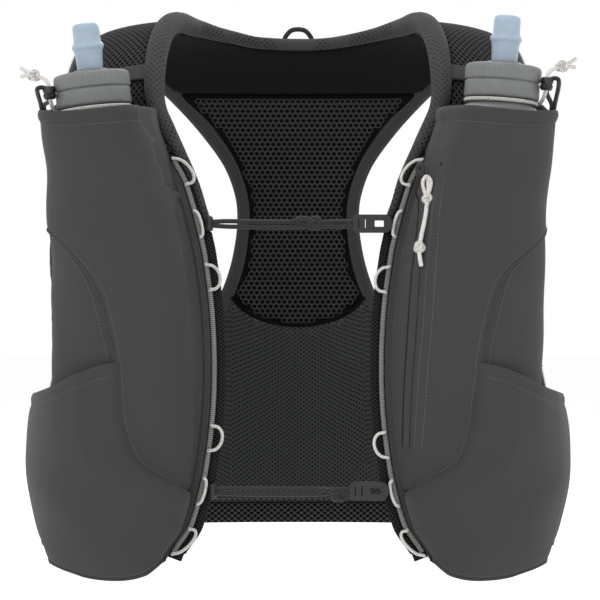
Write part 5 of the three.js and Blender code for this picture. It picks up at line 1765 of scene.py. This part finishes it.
def tether_route(side, middle):
    """The black loop from the sleeve's edge round the lock and back."""
    beside = LOCK + 1.6 + TETHER_CORD / 2
    foot = skin(side, 0.94, -RIM_DROP) + Vector((side, -0.4, 0)).normalized() * 4.5
    return [(foot.x, foot.y - 3, foot.z - 4), (foot.x + side, foot.y - 5, foot.z + 3),
            (middle.x + side * beside, middle.y - 1, middle.z + 3),
            (middle.x + side * 2.5, middle.y + beside, middle.z + 3),
            (middle.x + side, middle.y + beside + 3, middle.z - 3),
            (foot.x, foot.y + 2.5, foot.z + 3), (foot.x - side, foot.y + 3.5, foot.z - 2)]


class VEST_OT_neck_cords(bpy.types.Operator):
    """Make the drawcords round the flask necks, with locks, tethers and knotted ends."""
    bl_idname, bl_label = "vest.neck_cords", "Flask drawcords"

    def execute(self, context):
        for name, side in SIDES.items():
            turn = flask_matrix(name, side)
            ring = [turn @ Vector((math.cos(a) * NECK_RING, math.sin(a) * NECK_RING, -NECK_DROP))
                    for a in np.linspace(0, 2 * math.pi, 24, endpoint=False)]
            leave = turn @ Vector((side * NECK_RING, 0, -NECK_DROP))

            def at(x, y, z):
                return Vector((leave.x + side * x, leave.y + y, leave.z + z))
            pieces = [tube(f"ring_{name}", ring, NECK_CORD / 2, 12, 0.8, closed=True)[0]]
            pieces += [cord_tube(f"run_{name}", [at(*p) for p in run], NECK_CORD) for run in CORD_RUNS]
            pieces.append(knot(f"end_{name}", at(*DRAW_KNOT), (4.2, 3.4, 3.6), NECK_CORD / 2 * 0.92, 0.8))
            settle(merge(f"drawcord_{name}", pieces), finish("lace"), [f"flask_neck_cord_{name}"])
            low, high = at(*CORD_RUNS[0][2]), at(*CORD_RUNS[0][3])
            middle, way = low.lerp(high, 0.5), (high - low).normalized()
            lock = cord_lock(name, middle, way)
            settle(lock, finish("hardware"), [f"cord_lock_{name}"])
            tether = cord_tube(f"tether_{name}", tether_route(side, middle), TETHER_CORD)
            settle(tether, finish("cord"), [f"cord_lock_tether_{name}"])
        return {"FINISHED"}


# The zip's line on the sleeve: drop, reach.
ZIP_LINE = [(0.285, 0.510), (0.430, 0.470), (0.600, 0.440), (0.755, 0.428)]
# The pull cord's route, in metres, as the frame has it.
PULL_ROUTE = [(0.0840, -0.1296, -0.1046), (0.0844, -0.1318, -0.1110), (0.0836, -0.1336, -0.1190),
              (0.0828, -0.1358, -0.1260), (0.0814, -0.1372, -0.1340), (0.0796, -0.1382, -0.1420),
              (0.0782, -0.1392, -0.1500), (0.0784, -0.1402, -0.1570), (0.0792, -0.1422, -0.1620)]
PULL_RADIUS, KNOT_LOW, KNOT_HIGH = 1.4, 6, 2
PULL_EYE = [(83.2, -131.6, -104), (80.8, -132.0, -107), (81.2, -132.6, -112), (83.2, -133.2, -117),
            (85.6, -132.6, -112), (86.0, -132.0, -107)]
TEETH_SHIFT, STITCH_SHIFTS = -0.036, (0.06, 0.11)
DOT_REACH, DOT_DROP = 0.558, 0.262


def pull_pieces():
    """The zip's knotted pull cord, which hangs from an eye."""
    route = [tuple(c / MM for c in p) for p in PULL_ROUTE]
    pull, path = tube("pull_cord", route, PULL_RADIUS, 12, 0.8)
    settle(pull, finish("lace"), ["zip_pull_cord"])
    ends = [knot("pull_knot_low", route[KNOT_LOW], (3.4, 3.2, 3.6), 1.25, 0.3),
            knot("pull_knot_high", route[KNOT_HIGH], (3.0, 3.0, 3.2), 1.2, 1.1)]
    knots = settle(merge("pull_knots", ends), finish("lace"))
    eye, _ = tube("pull_eye", PULL_EYE, 1.15, 10, 0.7, closed=True)
    settle(eye, finish("lace"))
    [tuple(c * MM for c in p) for p in path]


class VEST_OT_zip(bpy.types.Operator):
    """Make the zip on the wearer's left sleeve, its slider and its knotted pull cord."""
    bl_idname, bl_label = "vest.zip", "Chest zip and pull"

    def execute(self, context):
        pull_pieces()
        top_drop, top_reach = ZIP_LINE[0]
        line = [(on_skin(1, read(ZIP_LINE, drop), -drop * HEM), drop)
                for drop in np.linspace(top_drop, ZIP_LINE[-1][0], 60)]
        centre = skin_line(1, line, CLOTH + 1.2)
        outs = {tuple(round(c, 3) for c in p): out for p, out in centre}

        def nearest(p):
            return min(outs.items(), key=lambda item: (Vector(item[0]) - p).length)[1]
        rows = [(p, 2.9, -1.4, -0.3) for p, _ in centre]
        flap, _ = band("zip_flap", rows, square=3.2, out_of=nearest)
        settle(flap, finish("stretch"), ["chest_zip"])
        coil = skin_line(1, [(across + TEETH_SHIFT, drop) for across, drop in line], CLOTH + 0.25)
        teeth = along_line(coil, details().rib_pitch / MM)
        settle(repeat("zip_teeth", teeth, "bead", finish("dark_thread"), 0.5, 0.8, 0.4))
        seams = [skin_line(1, [(across + shift, drop) for across, drop in line], CLOTH + 0.1)
                 for shift in STITCH_SHIFTS]
        stitches("zip_stitches", seams, (0.9, 0.3, 0.24))
        dot, out = skin_line(1, [(on_skin(1, DOT_REACH, -DOT_DROP * HEM), DOT_DROP)], CLOTH + 0.2)[0]
        settle(repeat("zip_dot", [(dot, out, (1, 0, 0))], "bead", finish("dark_thread"), 1.3, 1.0, 0.5))
        across = on_skin(1, top_reach, -top_drop * HEM)
        top, out = skin(1, across, -top_drop * HEM), skin_out(1, across, -top_drop * HEM)
        place = Matrix.Translation(top + out * 4.3 + Vector((-2, 0, 4.6))) @ UPRIGHT
        hole = rounded_box(0, 1.2, 1.8, 2.4, 0.8)
        slide = plate("slider_body", rounded_box(0, 0, 5.2, 8.0, 1.6), [hole], 2.4, 0.5, place)
        settle(slide, finish("hardware"), ["zip_slider"])
        return {"FINISHED"}


# The hang loop's form about the top of the roll: to the side, back and up.
LOOP_SHAPE = [(-10, 4, -2), (-9, 3.4, 0.5), (-4.5, 3, 5), (4.5, 3, 5), (9, 3.4, 0.5), (10, 4, -2)]
LOOP_RADIUS, LOOP_FLAT = 1.7, 0.6


class VEST_OT_hang_loop(bpy.types.Operator):
    """Make the hang loop at the back of the neck."""
    bl_idname, bl_label = "vest.hang_loop", "Hang loop"

    def execute(self, context):
        climb, _, girth = ROLL_LINE[-1]
        back = over(1, 0.0, climb)
        top = back.z + ROLL / 2 * girth * 1.5 + LOOP_RADIUS + 0.4
        points = [(x, back.y + y, top + z) for x, y, z in LOOP_SHAPE]
        piece, _ = tube("hang_tape", points, LOOP_RADIUS, 14, 0.8, flat=LOOP_FLAT)
        settle(piece, finish("cord"), ["hang_loop"])
        return {"FINISHED"}


FLOOR_DROP, FLOOR_HALF = 430, 9000
# Each lamp's name, place, size and energy.
LAMPS = [("key", (-1.1, -2.2, 1.5), 1.0, 11), ("fill", (1.6, -1.8, 0.5), 1.4, 2),
         ("top", (0.0, 0.3, 2.0), 1.0, 8), ("back", (0.6, 2.2, 0.8), 1.4, 10)]
LAMP_AIM, CAMERA_PLACE = (0, 0, -0.18), (0.0014, -1.7, -0.184)
FILM_WIDTH, VIEW_WIDTH = 36.0, 0.2471


class VEST_OT_stage(bpy.types.Operator):
    """Set up the pale floor, the soft studio light and the camera."""
    bl_idname, bl_label = "vest.stage", "Stage"

    def execute(self, context):
        scene = context.scene
        corners = [(x * FLOOR_HALF, y * FLOOR_HALF, -FLOOR_DROP)
                   for x, y in ((-1, -1), (1, -1), (1, 1), (-1, 1))]
        floor = make_object("floor", corners, [(0, 1, 2, 3)])
        floor.data.materials.append(floor_finish())
        world = bpy.data.worlds.new("studio")
        world.use_nodes = True
        sky = world.node_tree.nodes["Background"].inputs
        sky["Color"].default_value = (1, 1, 1, 1)
        sky["Strength"].default_value = 1.0
        scene.world = world
        scene.view_settings.view_transform = "Standard"
        for name, place, size, energy in LAMPS:
            lamp = bpy.data.lights.new(name, "AREA")
            lamp.size, lamp.energy = size, energy
            obj = links(bpy.data.objects.new(name, lamp))
            obj.location = place
            way = Vector(LAMP_AIM) - Vector(place)
            obj.rotation_euler = way.to_track_quat("-Z", "Y").to_euler()
        lens = bpy.data.cameras.new("camera")
        lens.sensor_width, lens.lens = FILM_WIDTH, FILM_WIDTH / VIEW_WIDTH
        camera = links(bpy.data.objects.new("camera", lens))
        camera.location = CAMERA_PLACE
        camera.rotation_euler = (math.pi / 2, 0, 0)
        scene.camera = camera
        return {"FINISHED"}


def colour(label, text, value):
    return bpy.props.FloatVectorProperty(name=label, description=text, subtype="COLOR", size=3,
                                         min=0, max=1, default=value[:3])


def length(label, text, value):
    return bpy.props.FloatProperty(name=label, description=text, default=value, unit="LENGTH", precision=4)


class VestLook(bpy.types.PropertyGroup):
    """Colours of the vest."""
    cloth: colour("Stretch cloth", "Colour of the stretch cloth", tone(58, 57, 57))
    mesh: colour("Padded mesh", "Colour of the padded mesh", tone(53, 54, 55))
    cap: colour("Caps", "Colour of the flask caps", tone(114, 116, 117))
    valve: colour("Valves", "Colour of the bite valves", tone(168, 184, 200))


class VestDetails(bpy.types.PropertyGroup):
    """Sizes of the small repeated details."""
    stitch_pitch: length("Stitch", "Length from one stitch to the next", 0.0024)
    rib_pitch: length("Rib", "Distance between the ribs of the cording and the zip", 0.0013)
    net_pitch: length("Net", "Distance between the cells of the back mesh", 0.0041)
    pressure: bpy.props.FloatProperty(name="Swell", description="Air pressure in the pads", default=4.0)


class VEST_PT_panel(bpy.types.Panel):
    """The vest's pieces in the sidebar."""
    bl_idname, bl_label = "VEST_PT_panel", "Hydration vest"
    bl_space_type, bl_region_type, bl_category = "VIEW_3D", "UI", "Vest"

    def draw(self, context):
        for group in (context.scene.vest_look, context.scene.vest_details):
            for key in group.__annotations__:
                self.layout.prop(group, key)
        for operator in OPERATORS:
            self.layout.operator(operator.bl_idname)


OPERATORS = (VEST_OT_stage, VEST_OT_zip, VEST_OT_pads, VEST_OT_back, VEST_OT_flasks, VEST_OT_sleeves,
             VEST_OT_pockets, VEST_OT_roll, VEST_OT_bindings, VEST_OT_edges, VEST_OT_laces, VEST_OT_sternum,
             VEST_OT_neck_cords, VEST_OT_hang_loop)
CLASSES = (VestLook, VestDetails, *OPERATORS, VEST_PT_panel)


def register():
    for item in CLASSES:
        bpy.utils.register_class(item)
    bpy.types.Scene.vest_look = bpy.props.PointerProperty(type=VestLook)
    bpy.types.Scene.vest_details = bpy.props.PointerProperty(type=VestDetails)


def unregister():
    del bpy.types.Scene.vest_details, bpy.types.Scene.vest_look
    for item in reversed(CLASSES):
        bpy.utils.unregister_class(item)


def main():
    register()
    for operator in OPERATORS:
        getattr(bpy.ops.vest, operator.bl_idname.split(".")[1])()


if __name__ == "__main__":
    main()
